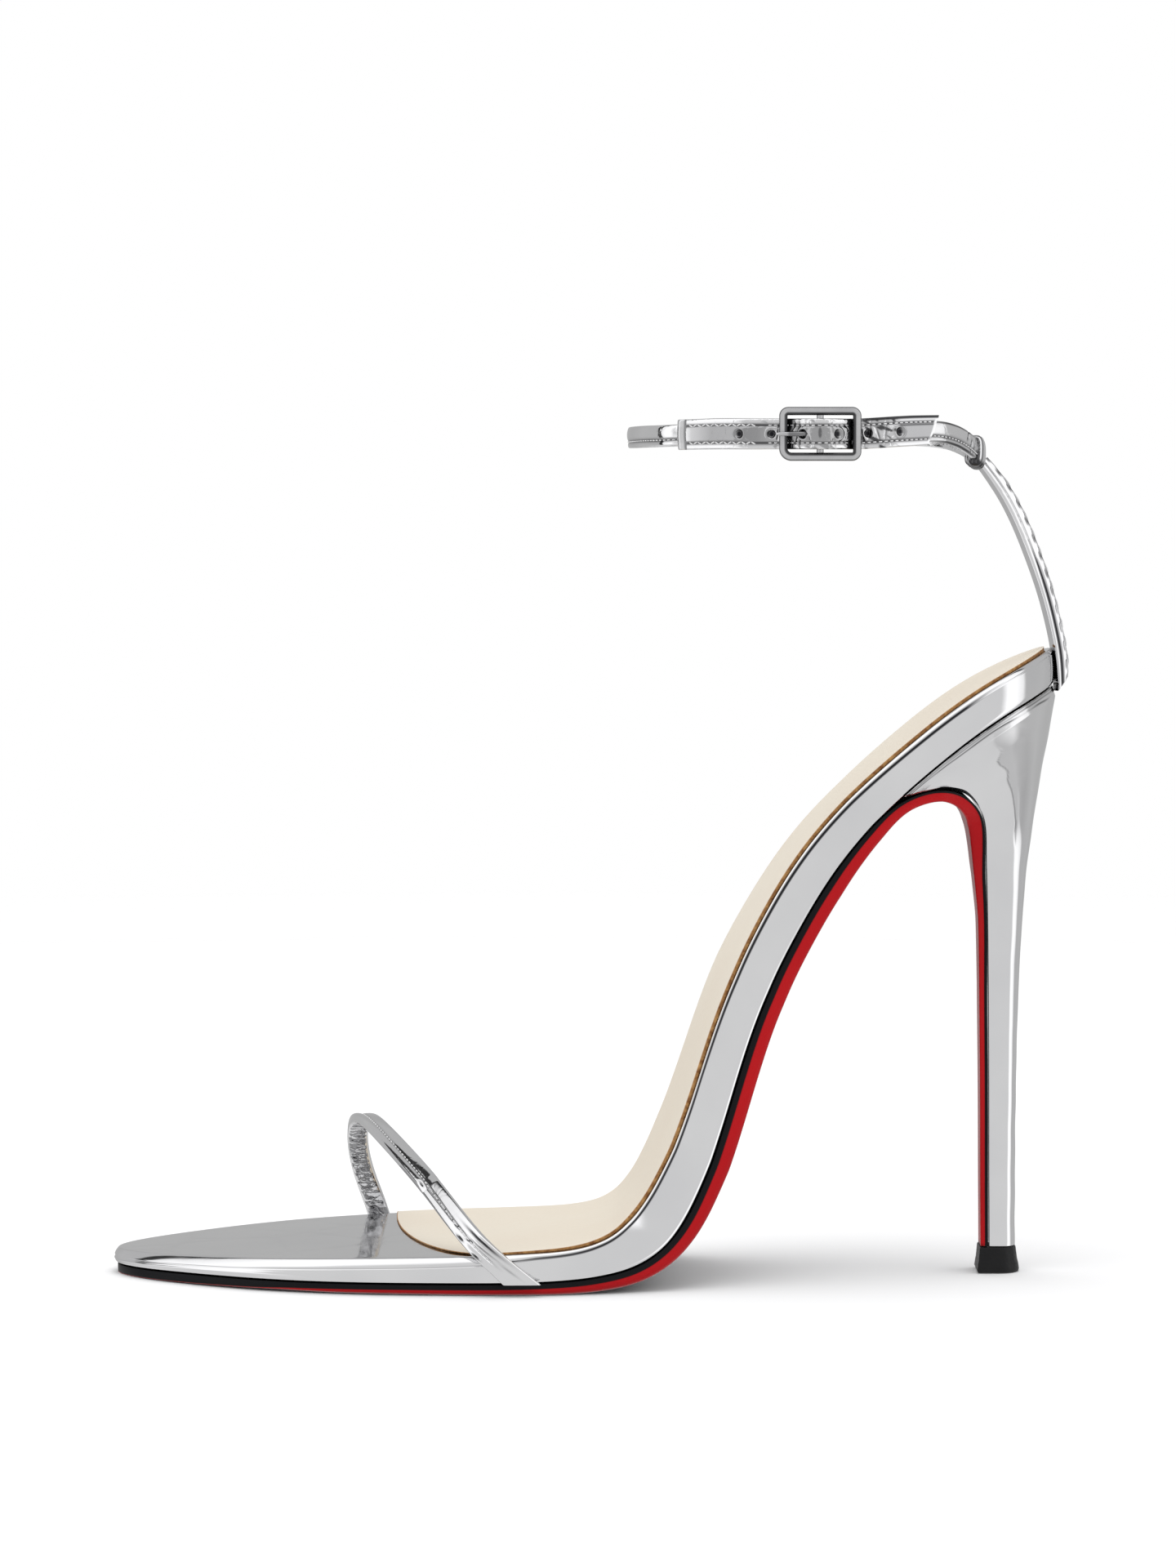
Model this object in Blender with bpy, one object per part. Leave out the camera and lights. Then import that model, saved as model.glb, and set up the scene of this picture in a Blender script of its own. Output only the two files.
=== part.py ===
# High heel sandal for the left foot, standing on its sole.
# X runs from toe to heel, Y from the outer to the inner side of the foot, Z up from the floor.
# Tables and sizes are in millimetres, and the meshes are made in metres.
import math
from collections import namedtuple

import bmesh
import bpy
import numpy as np

MM = 0.001
CENTRE = np.array([-0.6, 1.6, 0.0])  # puts the origin under the middle of the whole shoe
GAP = 0.3  # clearance where curved pieces meet
FINE_GAP = 0.2  # clearance inside the buckle
SMOOTH_ANGLE = math.radians(40)

COVER_WALL = 1.2
COVER_ROUND = 1.5  # edge rounding of the cover's top
OUTLINE_STEPS = 52  # stations along each side of the foot outline
BEND_AT = 112.0  # the ball bend, where stations lie closer together
BEND_SPREAD = 15.0
BEND_EXTRA = 3.0
INNER_LIFT = 1.2  # the arch is raised this much on the inner side

SOLE_INSET = 0.6  # the sole edge lies this far inside the cover's side
SOLE_LEAVES = 205.0  # distance from the toe where the sole leaves the foot bed
SOCK_INSET = 1.7
SOCK_THICK = 0.8
SOCK_FRONT_INNER = 56.0  # distance from the toe to the lining's front edge, inner side
SOCK_FRONT_OUTER = 77.0

HEEL_SEAT_FRONT = 213.0
TIP_HEIGHT = 5.2
STEM_END = TIP_HEIGHT + GAP

BAR_X = 45.3  # middle bar of the buckle
BAR_Y = -33.2
BAR_RADIUS = 0.7
FRAME_Y = -34.0
FRAME_Z = 168.7
FRAME_LONG = 14.4  # between the centre lines of the frame's bars
FRAME_TALL = 8.9
FRAME_CORNER = 1.6
FRAME_BAR = 0.82
EYE_OUTER = 1.6
PRONG_HALF = 0.5
SLOT_HALF = 0.9

Side = namedtuple("Side", "x z")
FOOT_BED = [  # underside of the foot bed seen from the side, toe to heel
    Side(-95.5, 2.0), Side(-84, 2.2), Side(-60, 2.35), Side(-30, 2.45), Side(-10, 2.7), Side(-3, 3.1),
    Side(3.2, 3.9), Side(9.7, 5.9), Side(14.3, 9.0), Side(17.6, 13.2), Side(20.6, 19.2), Side(25.2, 31.7),
    Side(29.3, 44.6), Side(34.1, 57.5), Side(40.9, 70.5), Side(49.4, 83.5), Side(61.3, 96.5),
    Side(70.1, 104.2), Side(81.2, 112.3), Side(93.6, 118.9),
]
BREAST = [  # top of the sole where it leaves the foot bed, rounds the arch and runs down the heel
    Side(60.9, 95.2), Side(65.8, 97.5), Side(70.3, 98.1), Side(74.1, 97.2), Side(76.6, 95.4),
    Side(78.4, 92.8), Side(79.2, 89.6), Side(79.5, 82.3), Side(79.9, 74.0), Side(80.1, 60.0),
    Side(80.3, 40.0), Side(80.4, 20.0), Side(80.5, STEM_END),
]

Plan = namedtuple("Plan", "along outer inner")
PLAN = [  # half widths of the foot bed along its own length
    Plan(0, 0, 0), Plan(3, 8.9, 8.2), Plan(7.5, 14.4, 13.2), Plan(15, 20.7, 19.3), Plan(25, 27.4, 25.8),
    Plan(40, 34.2, 32.3), Plan(58, 37.8, 36.4), Plan(72, 38.7, 37.5), Plan(88, 38.4, 34.5),
    Plan(105, 34.5, 27.8), Plan(120, 29.3, 23.0), Plan(140, 24.2, 19.7), Plan(160, 21.9, 19.4),
    Plan(180, 21.7, 21.2), Plan(200, 22.9, 23.4), Plan(220, 24.4, 24.7), Plan(235, 23.6, 23.2),
    Plan(245, 17.9, 17.0), Plan(250, 9.2, 8.6), Plan(252, 0, 0),
]

Bed = namedtuple("Bed", "along thick lift lean")
BED = [  # thickness of the foot bed, share of the inner lift, and how far its wall leans upright
    Bed(0, 3.0, 0, 0), Bed(15, 3.5, 0, 0), Bed(32, 4.2, 0, 0), Bed(50, 4.8, 0, 0), Bed(70, 5.3, 0, 0),
    Bed(85, 5.7, 0, 0), Bed(99, 6.6, 0.1, 0),
    Bed(108, 8.2, 0.3, 0), Bed(118, 8.5, 0.6, 0), Bed(130, 7.9, 1, 0), Bed(145, 7.4, 1, 0),
    Bed(165, 7.3, 1, 0), Bed(185, 7.4, 0.5, 0), Bed(205, 6.9, 0, 0), Bed(225, 6.7, 0, 0.1),
    Bed(240, 7.0, 0, 0.6), Bed(252, 7.2, 0, 0.9),
]

Sole = namedtuple("Sole", "along width edge belly")
SOLE = [  # share of the foot bed's width, thickness of the edge and of the belly below it
    Sole(0, 1, 1.1, 0.2), Sole(15, 1, 1.1, 0.8), Sole(35, 1, 1.1, 1.4), Sole(80, 1, 1.1, 1.4),
    Sole(95, 1, 1.1, 1.6), Sole(112, 1, 1.2, 2.2), Sole(130, 1, 1.2, 2.5), Sole(190, 1, 1.2, 2.3),
    Sole(205, 1, 1.1, 1.9), Sole(213, 0.95, 1.0, 1.4), Sole(221, 0.83, 1.0, 1.3), Sole(227, 0.64, 1.0, 1.8),
    Sole(232, 0.46, 0.9, 2.3), Sole(237, 0.34, 0.8, 2.0), Sole(244, 0.265, 0.7, 1.4),
    Sole(252, 0.225, 0.6, 1.1), Sole(266, 0.2, 0.6, 1.0), Sole(320, 0.185, 0.6, 0.9),
]
BELLY_STEPS = (-0.82, -0.55, -0.28, 0.0, 0.28, 0.55, 0.82)  # shares of the half width
BELLY_POWER = 0.8

Heel = namedtuple("Heel", "front_x front_z back_x back_z half_front half_most bow stem")
HEEL = [  # sections from just under the seat to the tip, front and back in side view
    Heel(66.3, 98.0, 93.8, 116.2, 21.4, 23.2, 1.2, 0.05),
    Heel(70.6, 98.5, 93.2, 112.4, 18.8, 20.6, 0.6, 0.15),
    Heel(74.4, 97.5, 92.5, 108.3, 15.4, 17.4, 0.2, 0.3),
    Heel(77.0, 95.6, 91.7, 104.2, 12.4, 14.2, 0, 0.5),
    Heel(78.8, 92.9, 91.0, 100.0, 9.6, 11.5, 0, 0.7),
    Heel(79.6, 89.6, 90.2, 95.4, 7.8, 9.4, 0, 0.85),
    Heel(79.8, 85.5, 89.4, 90.0, 6.5, 7.7, 0, 1),
    Heel(80.0, 79.5, 88.3, 82.0, 5.6, 6.4, 0, 1),
    Heel(80.2, 72.0, 87.5, 73.0, 5.0, 5.4, 0, 1),
    Heel(80.4, 60.0, 86.8, 60.4, 4.6, 4.8, 0, 1),
    Heel(80.6, 40.0, 86.3, 40.0, 4.2, 4.35, 0, 1),
    Heel(80.7, 20.0, 86.1, 20.0, 4.1, 4.2, 0, 1),
    Heel(80.8, STEM_END, 86.1, STEM_END, 4.2, 4.3, 0, 1),
]
HEEL_STEPS = 12  # stations from the breast to the back seam

Tip = namedtuple("Tip", "z front_x back_x half")
TIP = [  # flared top piece
    Tip(0, 78.5, 86.9, 5.0), Tip(0.6, 78.3, 87.0, 5.1), Tip(2.6, 78.6, 86.6, 4.8),
    Tip(TIP_HEIGHT, 78.8, 86.3, 4.6),
]

Strap = namedtuple("Strap", "x y z wide thick")
TOE_STRAP = [  # outer anchor, over the toes, inner anchor
    Strap(-13.8, -40.3, 3.3, 4.4, 1.8),
    Strap(-17.2, -40.3, 6.2, 4.4, 1.8),
    Strap(-20.6, -39.8, 9.3, 4.4, 1.8),
    Strap(-24.2, -36.6, 12.9, 4.3, 1.8),
    Strap(-30.6, -27.0, 19.7, 4.3, 1.8),
    Strap(-37.0, -16.5, 25.6, 4.2, 1.8),
    Strap(-41.4, -8.0, 29.1, 4.2, 1.8),
    Strap(-44.8, 2.0, 30.6, 4.2, 1.8),
    Strap(-46.7, 12.5, 28.2, 4.2, 1.8),
    Strap(-47.0, 23.5, 21.3, 4.2, 1.8),
    Strap(-45.4, 32.6, 13.4, 4.3, 1.8),
    Strap(-43.6, 36.9, 7.4, 4.4, 1.8),
    Strap(-42.4, 37.0, 3.3, 4.4, 1.8),
]
HEEL_STRAP = [  # from the heel end of the cover up to the ankle strap
    Strap(95.3, 0, 119.3, 5.4, 2.4),
    Strap(94.9, 0, 124.0, 5.2, 2.7),
    Strap(93.8, 0, 129.4, 5.0, 2.8),
    Strap(91.8, 0, 137.2, 5.0, 2.9),
    Strap(89.1, 0, 145.0, 5.0, 3.0),
    Strap(85.7, 0, 153.0, 5.0, 3.0),
    Strap(82.2, 0, 159.0, 5.0, 3.0),
    Strap(79.0, 0, 163.0, 4.8, 2.8),
]
STRAP_SLEEVE = [  # loop of the heel strap round the ankle strap
    Strap(77.7, -3.2, 165.2, 5.6, 2.8),
    Strap(78.1, 0, 164.7, 6.0, 3.1),
    Strap(77.7, 3.2, 165.2, 5.6, 2.8),
]
WRAP_RADIUS = 1.3  # centre line of the strap end folded round the middle bar
WRAP_THICK = 0.7
WRAP_TURNS = (60, 105, 150, 195, 240, 285)  # degrees about the bar, from its inner side

LOOP_X = 43.3  # centre of the ankle loop
LOOP_LONG = 34.7
LOOP_WIDE = 30.8
NARROW_WIDE = 4.2
NARROW_THICK = 1.3
Turn = namedtuple("Turn", "degrees z")
LOOP_TURNS = [  # narrow strap from the buckle round the back and the front of the ankle
    Turn(-56, 169.0), Turn(-42, 169.1), Turn(-28, 167.7), Turn(-14, 165.6), Turn(0, 164.7), Turn(14, 165.6),
    Turn(28, 167.3), Turn(50, 168.3), Turn(75, 168.5), Turn(100, 168.2), Turn(125, 168.2), Turn(150, 168.0),
    Turn(180, 167.9), Turn(205, 168.2), Turn(220, 168.4),
]
BILLET = [  # wider stitched end, under the frame's bars and over the middle one
    Strap(18.6, -21.4, 168.5, 5.9, 1.3),
    Strap(25.0, -26.3, 168.7, 6.0, 1.2),
    Strap(32.0, -30.4, 168.7, 6.0, 1.2),
    Strap(38.1, -32.3, 168.7, 6.0, 1.2),
    Strap(41.6, -34.0, 168.7, 6.0, 1.2),
    Strap(45.3, -35.65, 168.7, 6.0, 1.2),
    Strap(49.0, -34.0, 168.7, 6.0, 1.2),
    Strap(52.5, -32.3, 168.7, 6.0, 1.2),
    Strap(58.0, -31.0, 169.0, 6.0, 1.2),
    Strap(63.4, -28.1, 169.3, 6.0, 1.2),
    Strap(68.4, -24.4, 169.5, 5.6, 1.2),
]
TAIL = [  # folded end between the middle bar and the loop
    Strap(48.2, -32.5, 168.7, 4.2, 0.9),
    Strap(51.5, -30.9, 168.7, 4.2, 1.1),
    Strap(56.0, -29.3, 168.9, 4.2, 1.2),
]

Finish = namedtuple("Finish", "colour roughness metallic")
SILVER = Finish((0.56, 0.56, 0.57), 0.12, 1.0)
FINISHES = {
    "outsole": Finish((0.38, 0.012, 0.014), 0.22, 0.0),
    "insole_board": Finish((0.32, 0.24, 0.16), 0.8, 0.0),
    "insole_cover": SILVER,
    "sock_lining": Finish((0.78, 0.71, 0.60), 0.55, 0.0),
    "heel": SILVER,
    "heel_tip": Finish((0.012, 0.012, 0.013), 0.45, 0.0),
    "toe_strap": SILVER,
    "ankle_strap": SILVER,
    "buckle_frame": Finish((0.35, 0.35, 0.36), 0.25, 1.0),
    "buckle_prong": Finish((0.35, 0.35, 0.36), 0.25, 1.0),
}


def column(table, name):
    return np.array([getattr(row, name) for row in table], float)


def spline(knots, values):
    # Natural cubic through the values, one row or number for each knot.
    knots = np.asarray(knots, float)
    values = np.asarray(values, float).reshape(len(knots), -1)
    step = np.diff(knots)
    slope = np.diff(values, axis=0) / step[:, None]
    system = np.eye(len(knots))
    right = np.zeros_like(values)
    for i in range(1, len(knots) - 1):
        system[i, i - 1:i + 2] = step[i - 1], 2 * (step[i - 1] + step[i]), step[i]
        right[i] = 6 * (slope[i] - slope[i - 1])
    bend = np.linalg.solve(system, right)

    def at(where):
        where = np.atleast_1d(np.asarray(where, float))
        i = np.clip(np.searchsorted(knots, where) - 1, 0, len(step) - 1)
        width = step[i][:, None]
        before = (knots[i + 1] - where)[:, None] / width
        after = 1 - before
        bent = (before**3 - before) * bend[i] + (after**3 - after) * bend[i + 1]
        found = before * values[i] + after * values[i + 1] + bent * width**2 / 6
        return found if found.shape[1] > 1 else found[:, 0]

    return at


def lengths_along(points):
    return np.concatenate([[0], np.cumsum(np.linalg.norm(np.diff(points, axis=0), axis=1))])


class Track:
    # A curve in side view, measured by its length from the toe.
    def __init__(self, points):
        points = np.asarray(points, float)
        chord = lengths_along(points)
        self.fine = spline(chord, points)(np.linspace(0, chord[-1], 2000))
        self.along = lengths_along(self.fine)
        self.length = self.along[-1]
        direction = np.gradient(self.fine, self.along, axis=0)
        self.direction = direction / np.linalg.norm(direction, axis=1)[:, None]

    def sampled(self, values, along):
        return np.stack([np.interp(along, self.along, values[:, i]) for i in range(2)], axis=-1)

    def place(self, along):
        return self.sampled(self.fine, along)

    def up(self, along):
        turned = self.sampled(self.direction, along)
        return np.stack([-turned[..., 1], turned[..., 0]], axis=-1)


bed_track = Track(FOOT_BED)
LENGTH = bed_track.length
PLAN_SCALE = LENGTH / PLAN[-1].along


def turn_of(along):
    # Turns distance into an angle, in which the rounded toe and heel ends are straight lines.
    return np.arccos(np.clip(1 - 2 * np.asarray(along, float) / LENGTH, -1, 1))


outer_half = spline(turn_of(column(PLAN, "along") * PLAN_SCALE), column(PLAN, "outer"))
inner_half = spline(turn_of(column(PLAN, "along") * PLAN_SCALE), column(PLAN, "inner"))
bed_thick = spline(column(BED, "along"), column(BED, "thick"))


def bed_lift(along):
    return INNER_LIFT * np.interp(along, column(BED, "along"), column(BED, "lift"))


def on_bed(along, across, above):
    # Carries distance from the toe, width and height above the foot bed's underside into space.
    along, across, above = np.broadcast_arrays(*(np.asarray(v, float) for v in (along, across, above)))
    half = np.interp(along, column(PLAN, "along"), column(PLAN, "inner")) + 1
    lean = np.interp(along, column(BED, "along"), column(BED, "lean"))[..., None]
    up = bed_track.up(along) * (1 - lean) + np.array([0.0, 1.0]) * lean
    up = up / np.linalg.norm(up, axis=-1)[..., None]
    place = bed_track.place(along) + (above + bed_lift(along) * across / half)[..., None] * up
    return np.stack([place[..., 0], across, place[..., 1]], axis=-1)


def bed_stations():
    # Even steps of the angle, closer together at the ball bend.
    fine = np.linspace(0, math.pi, 2000)
    from_bend = (LENGTH / 2 * (1 - np.cos(fine)) - BEND_AT) / BEND_SPREAD
    crowd = np.cumsum(1 + BEND_EXTRA * np.exp(-from_bend**2))
    turn = np.interp(np.linspace(crowd[0], crowd[-1], OUTLINE_STEPS + 1), crowd, fine)
    return turn, LENGTH / 2 * (1 - np.cos(turn))


def foot_outline(inset):
    # Toe end, outer side, heel end, inner side; moved inwards by the inset.
    turn, along = bed_stations()
    outer = np.stack([along, -outer_half(turn)], axis=1)
    inner = np.stack([along, inner_half(turn)], axis=1)
    ring = np.concatenate([outer, inner[-2:0:-1]])
    ahead = np.roll(ring, -1, axis=0) - np.roll(ring, 1, axis=0)
    inward = np.stack([-ahead[:, 1], ahead[:, 0]], axis=1)
    return ring + inset * inward / np.linalg.norm(inward, axis=1)[:, None]


def half_of_outline(inset, along):
    # Outer and inner half widths of the inset outline.
    ring = foot_outline(inset)
    outer = ring[:OUTLINE_STEPS + 1]
    inner = np.concatenate([ring[OUTLINE_STEPS:], ring[:1]])[::-1]
    return np.interp(along, outer[:, 0], -outer[:, 1]), np.interp(along, inner[:, 0], inner[:, 1])


def finished(name, points, faces):
    # One closed object with its own material.
    mesh = bpy.data.meshes.new(name)
    mesh.from_pydata(((np.asarray(points) + CENTRE) * MM).tolist(), [], faces)
    work = bmesh.new()
    work.from_mesh(mesh)
    bmesh.ops.recalc_face_normals(work, faces=work.faces)
    work.to_mesh(mesh)
    work.free()
    mesh.shade_smooth()
    mesh.set_sharp_from_angle(angle=SMOOTH_ANGLE)
    piece = bpy.data.objects.new(name, mesh)
    bpy.context.scene.collection.objects.link(piece)
    finish = FINISHES.get(name)
    if finish:
        material = bpy.data.materials.new(name)
        material.use_nodes = True
        shader = material.node_tree.nodes["Principled BSDF"]
        shader.inputs["Base Color"].default_value = (*finish.colour, 1)
        shader.inputs["Roughness"].default_value = finish.roughness
        shader.inputs["Metallic"].default_value = finish.metallic
        mesh.materials.append(material)
    return piece


def ring_faces(count, first, second):
    pairs = [(i, (i + 1) % count) for i in range(count)]
    return [(first + i, first + j, second + j, second + i) for i, j in pairs]


def strip_cap(half, start):
    # Closes a ring of two mirrored sides with strips from one side to the other.
    count = 2 * half
    ends = [(start, start + 1, start + count - 1), (start + half - 1, start + half, start + half + 1)]
    strips = [
        (start + i, start + i + 1, start + count - i - 1, start + count - i) for i in range(1, half - 1)
    ]
    return ends + strips


def bed_rings(levels):
    # Each level is an inset and a height function of the distance from the toe.
    rings = []
    for inset, height in levels:
        ring = foot_outline(inset)
        rings.append(on_bed(ring[:, 0], ring[:, 1], height(ring[:, 0])))
    return rings


def skin_faces(rings):
    count = len(rings[0])
    faces = []
    for i in range(len(rings) - 1):
        faces += ring_faces(count, i * count, (i + 1) * count)
    return faces


def ring_loft(name, rings):
    # Skins the rings in order and closes both ends.
    count = len(rings[0])
    caps = strip_cap(count // 2, 0) + strip_cap(count // 2, (len(rings) - 1) * count)
    return finished(name, np.concatenate(rings), skin_faces(rings) + caps)


def make_insole_cover():
    # Rounded outer skin from the rim up and over, then the inner skin back down to the rim.
    top = bed_thick
    outside = [
        (0.35, lambda s: 0 * s), (0, lambda s: 0 * s + 0.5), (0, lambda s: top(s) - COVER_ROUND),
        (0.3 * COVER_ROUND, lambda s: top(s) - 0.3 * COVER_ROUND), (COVER_ROUND, top),
    ]
    inside = [
        (COVER_WALL, lambda s: 0 * s), (COVER_WALL, lambda s: top(s) - COVER_WALL - 0.8),
        (COVER_WALL + 0.8, lambda s: top(s) - COVER_WALL),
    ]
    return ring_loft("insole_cover", bed_rings(outside[::-1] + inside))


def make_insole_board():
    reach = COVER_WALL + GAP
    levels = [
        (reach, lambda s: 0 * s), (reach, lambda s: bed_thick(s) - reach - 1.0),
        (reach + 1.0, lambda s: bed_thick(s) - reach),
    ]
    return ring_loft("insole_board", bed_rings(levels))


def row_loft(name, rows):
    # Skins closed rows of points and closes the first and the last row.
    count = len(rows[0])
    last = (len(rows) - 1) * count
    ends = [tuple(range(count)), tuple(range(last, last + count))]
    return finished(name, np.concatenate(rows), skin_faces(rows) + ends)


def make_sock_lining():
    # A thin plate whose front edge sweeps back in a quarter ellipse towards the outer side.
    across = np.linspace(-1, 1, 11)
    sweep = np.sqrt(1 - ((1 - across) / 2.02) ** 2)
    front = SOCK_FRONT_OUTER - (SOCK_FRONT_OUTER - SOCK_FRONT_INNER) * sweep
    level = SOCK_FRONT_OUTER + 5
    back = LENGTH - SOCK_INSET - 0.2
    places = [front + (level - front) * share for share in np.linspace(0, 1, 6)]
    beyond = bed_stations()[1]
    places += [along + 0 * across for along in beyond if level < along < back - 0.3] + [back + 0 * across]
    rows = []
    for along in places:
        outer, inner = half_of_outline(SOCK_INSET, along)
        side = np.where(across < 0, across * outer, across * inner)
        low = bed_thick(along) + GAP
        top = on_bed(along, side, low + SOCK_THICK)
        bottom = on_bed(along, side, low)
        rows.append(np.concatenate([top, bottom[::-1]]))
    return row_loft("sock_lining", rows)


def sole_track():
    under = np.linspace(0, SOLE_LEAVES, 24)
    bed_part = bed_track.place(under) - GAP * bed_track.up(under)
    return Track(np.concatenate([bed_part, [(row.x, row.z) for row in BREAST]]))


def make_outsole():
    track = sole_track()
    stations = np.concatenate([
        np.array([1.0, 1.8, 3.2, 5.2, 8, 12, 17, 23]), np.arange(30, 92, 7.5), np.arange(94, 132, 4),
        np.arange(136, 204, 7.5), np.arange(205, 246, 2.5), np.linspace(250, track.length, 9),
    ])
    shares = np.array(BELLY_STEPS)
    rows = []
    for along in stations:
        width = np.interp(along, column(SOLE, "along"), column(SOLE, "width"))
        edge = np.interp(along, column(SOLE, "along"), column(SOLE, "edge"))
        belly = np.interp(along, column(SOLE, "along"), column(SOLE, "belly"))
        halves = half_of_outline(SOLE_INSET, min(along, SOLE_LEAVES))
        outer, inner = float(halves[0]) * width, float(halves[1]) * width
        low_edge = min(0.25, 0.1 * outer)
        side = np.where(shares < 0, shares * outer, shares * inner)
        across = np.concatenate([[-outer, -outer + low_edge], side, [inner - low_edge, inner]])
        swell = belly * (1 - shares**2) ** BELLY_POWER
        below = np.concatenate([[0, edge], edge + swell, [edge, 0]])
        lift = bed_lift(along) * across / (float(halves[1]) + 1)
        place = track.place(along) + (lift - below)[:, None] * track.up(along)
        height = np.maximum(place[:, 1], 0) if along < SOLE_LEAVES else place[:, 1]
        rows.append(np.stack([place[:, 0], across, height], axis=1))
    return row_loft("outsole", rows)


def heel_sides():
    # Shares from the breast to the back, closer together at the rounded back.
    return 1 - (1 - np.linspace(0, 1, HEEL_STEPS + 1)) ** 1.8


def heel_ring(row, shares, seat_outer, seat_inner):
    front = np.array([row.front_x, row.front_z])
    back = np.array([row.back_x, row.back_z])
    chord = back - front
    up = np.array([-chord[1], chord[0]]) / np.linalg.norm(chord)
    flat = 0.5
    round_part = np.clip((shares - flat) / (1 - flat), 0, 1)
    stem_shape = (1 - round_part**2.2) ** (1 / 2.2)
    widening = np.clip(shares / 0.4, 0, 1)
    half = row.half_front + (row.half_most - row.half_front) * widening
    outer = half * ((1 - row.stem) * seat_outer + row.stem * stem_shape)
    inner = half * ((1 - row.stem) * seat_inner + row.stem * stem_shape)
    place = front + shares[:, None] * chord + (4 * row.bow * shares * (1 - shares))[:, None] * up
    outer_side = np.stack([place[:, 0], -outer, place[:, 1]], axis=1)
    inner_side = np.stack([place[:, 0], inner, place[:, 1]], axis=1)
    return np.concatenate([outer_side, inner_side[-2::-1]])


def open_strip_cap(steps, start):
    # Closes a ring whose flat front joins its first and last point.
    last = start + 2 * steps
    strips = [(start + i, start + i + 1, last - i - 1, last - i) for i in range(steps - 1)]
    return strips + [(start + steps - 1, start + steps, start + steps + 1)]


def make_heel():
    shares = heel_sides()
    along = HEEL_SEAT_FRONT + (LENGTH - 0.4 - HEEL_SEAT_FRONT) * shares
    outer, inner = half_of_outline(0.4, along)
    outer[-1] = inner[-1] = 0
    seat_outer = on_bed(along, -outer, -GAP)
    seat_inner = on_bed(along, inner, -GAP)
    rings = [np.concatenate([seat_outer, seat_inner[-2::-1]])]
    for row in HEEL:
        rings.append(heel_ring(row, shares, outer / outer.max(), inner / inner.max()))
    last = (len(rings) - 1) * len(rings[0])
    caps = open_strip_cap(HEEL_STEPS, 0) + open_strip_cap(HEEL_STEPS, last)
    return finished("heel", np.concatenate(rings), skin_faces(rings) + caps)


def make_heel_tip():
    turn = np.linspace(0, math.pi, 17)
    rows = []
    for row in TIP:
        middle = row.front_x + 0.5 * (row.back_x - row.front_x)
        round_back = middle + (row.back_x - middle) * np.sin(turn) ** 0.9
        x = np.concatenate([[row.front_x], round_back, [row.front_x]])
        y = np.concatenate([[-row.half], -row.half * np.cos(turn), [row.half]])
        rows.append(np.stack([x, y, 0 * x + row.z], axis=1))
    return row_loft("heel_tip", rows)


def strap_points(table, steps):
    # Centre line and sizes, with the same number of steps between neighbouring rows.
    centre = np.stack([column(table, name) for name in "xyz"], axis=1)
    chord = lengths_along(centre)
    where = np.interp(np.arange((len(table) - 1) * steps + 1) / steps, np.arange(len(table)), chord)
    sizes = [np.interp(where, chord, column(table, name)) for name in ("wide", "thick")]
    return spline(chord, centre)(where), np.stack(sizes, axis=1)


def strap_loft(name, centre, sizes, outward, points=10, squareness=0.55):
    # Sweeps a flat pill section. Outward is the rough direction of the strap's face at each station.
    ahead = np.gradient(centre, axis=0)
    ahead /= np.linalg.norm(ahead, axis=1)[:, None]
    face = outward - (outward * ahead).sum(axis=1)[:, None] * ahead
    face /= np.linalg.norm(face, axis=1)[:, None]
    across = np.cross(ahead, face)
    turn = (np.arange(points) + 0.5) * 2 * math.pi / points
    wide = np.sign(np.cos(turn)) * np.abs(np.cos(turn)) ** squareness
    thick = np.sign(np.sin(turn)) * np.abs(np.sin(turn)) ** squareness
    wide /= np.abs(wide).max()
    thick /= np.abs(thick).max()
    rows = [
        c + 0.5 * s[0] * wide[:, None] * a + 0.5 * s[1] * thick[:, None] * f
        for c, s, a, f in zip(centre, sizes, across, face)
    ]
    return row_loft(name, rows)


def make_toe_strap():
    centre, sizes = strap_points(TOE_STRAP, 3)
    outward = centre * np.array([0, 1, 1]) - np.array([0, 0, 4.0])
    return strap_loft("toe_strap", centre, sizes, outward)


def ankle_table():
    # Folded end round the middle bar, narrow strap round the ankle, then the wide stitched end.
    rows = []
    for degrees in WRAP_TURNS:
        turn = math.radians(degrees)
        x = BAR_X - WRAP_RADIUS * math.sin(turn)
        y = BAR_Y + WRAP_RADIUS * math.cos(turn)
        rows.append(Strap(x, y, FRAME_Z, NARROW_WIDE, WRAP_THICK))
    rows += TAIL
    for turn in LOOP_TURNS:
        angle = math.radians(turn.degrees)
        x = LOOP_X + LOOP_LONG * math.cos(angle)
        y = LOOP_WIDE * math.sin(angle)
        rows.append(Strap(x, y, turn.z, NARROW_WIDE, NARROW_THICK))
    return rows + BILLET


def joined(piece, others, operation):
    for other in others:
        other.hide_render = True
        other.display_type = "WIRE"
        modifier = piece.modifiers.new(other.name, "BOOLEAN")
        modifier.operation = operation
        modifier.object = other


def upright_cylinder(name, x, y, low, high, radius, points=20):
    turn = np.arange(points) * 2 * math.pi / points
    flat = np.stack([x + radius * np.cos(turn), y + radius * np.sin(turn)], axis=1)
    rows = [np.column_stack([flat, np.full(points, z)]) for z in (low, high)]
    return row_loft(name, rows)


def prong_line():
    # Straight pin from its eye on the middle bar to the outside of the front bar.
    rest_y = FRAME_Y - FRAME_BAR - FINE_GAP - PRONG_HALF
    front_bar = BAR_X - FRAME_LONG / 2
    start = np.array([BAR_X - 1.2, BAR_Y - 0.6, FRAME_Z])
    end = np.array([front_bar - FRAME_BAR, rest_y - 0.1, FRAME_Z])
    return start, end


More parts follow.
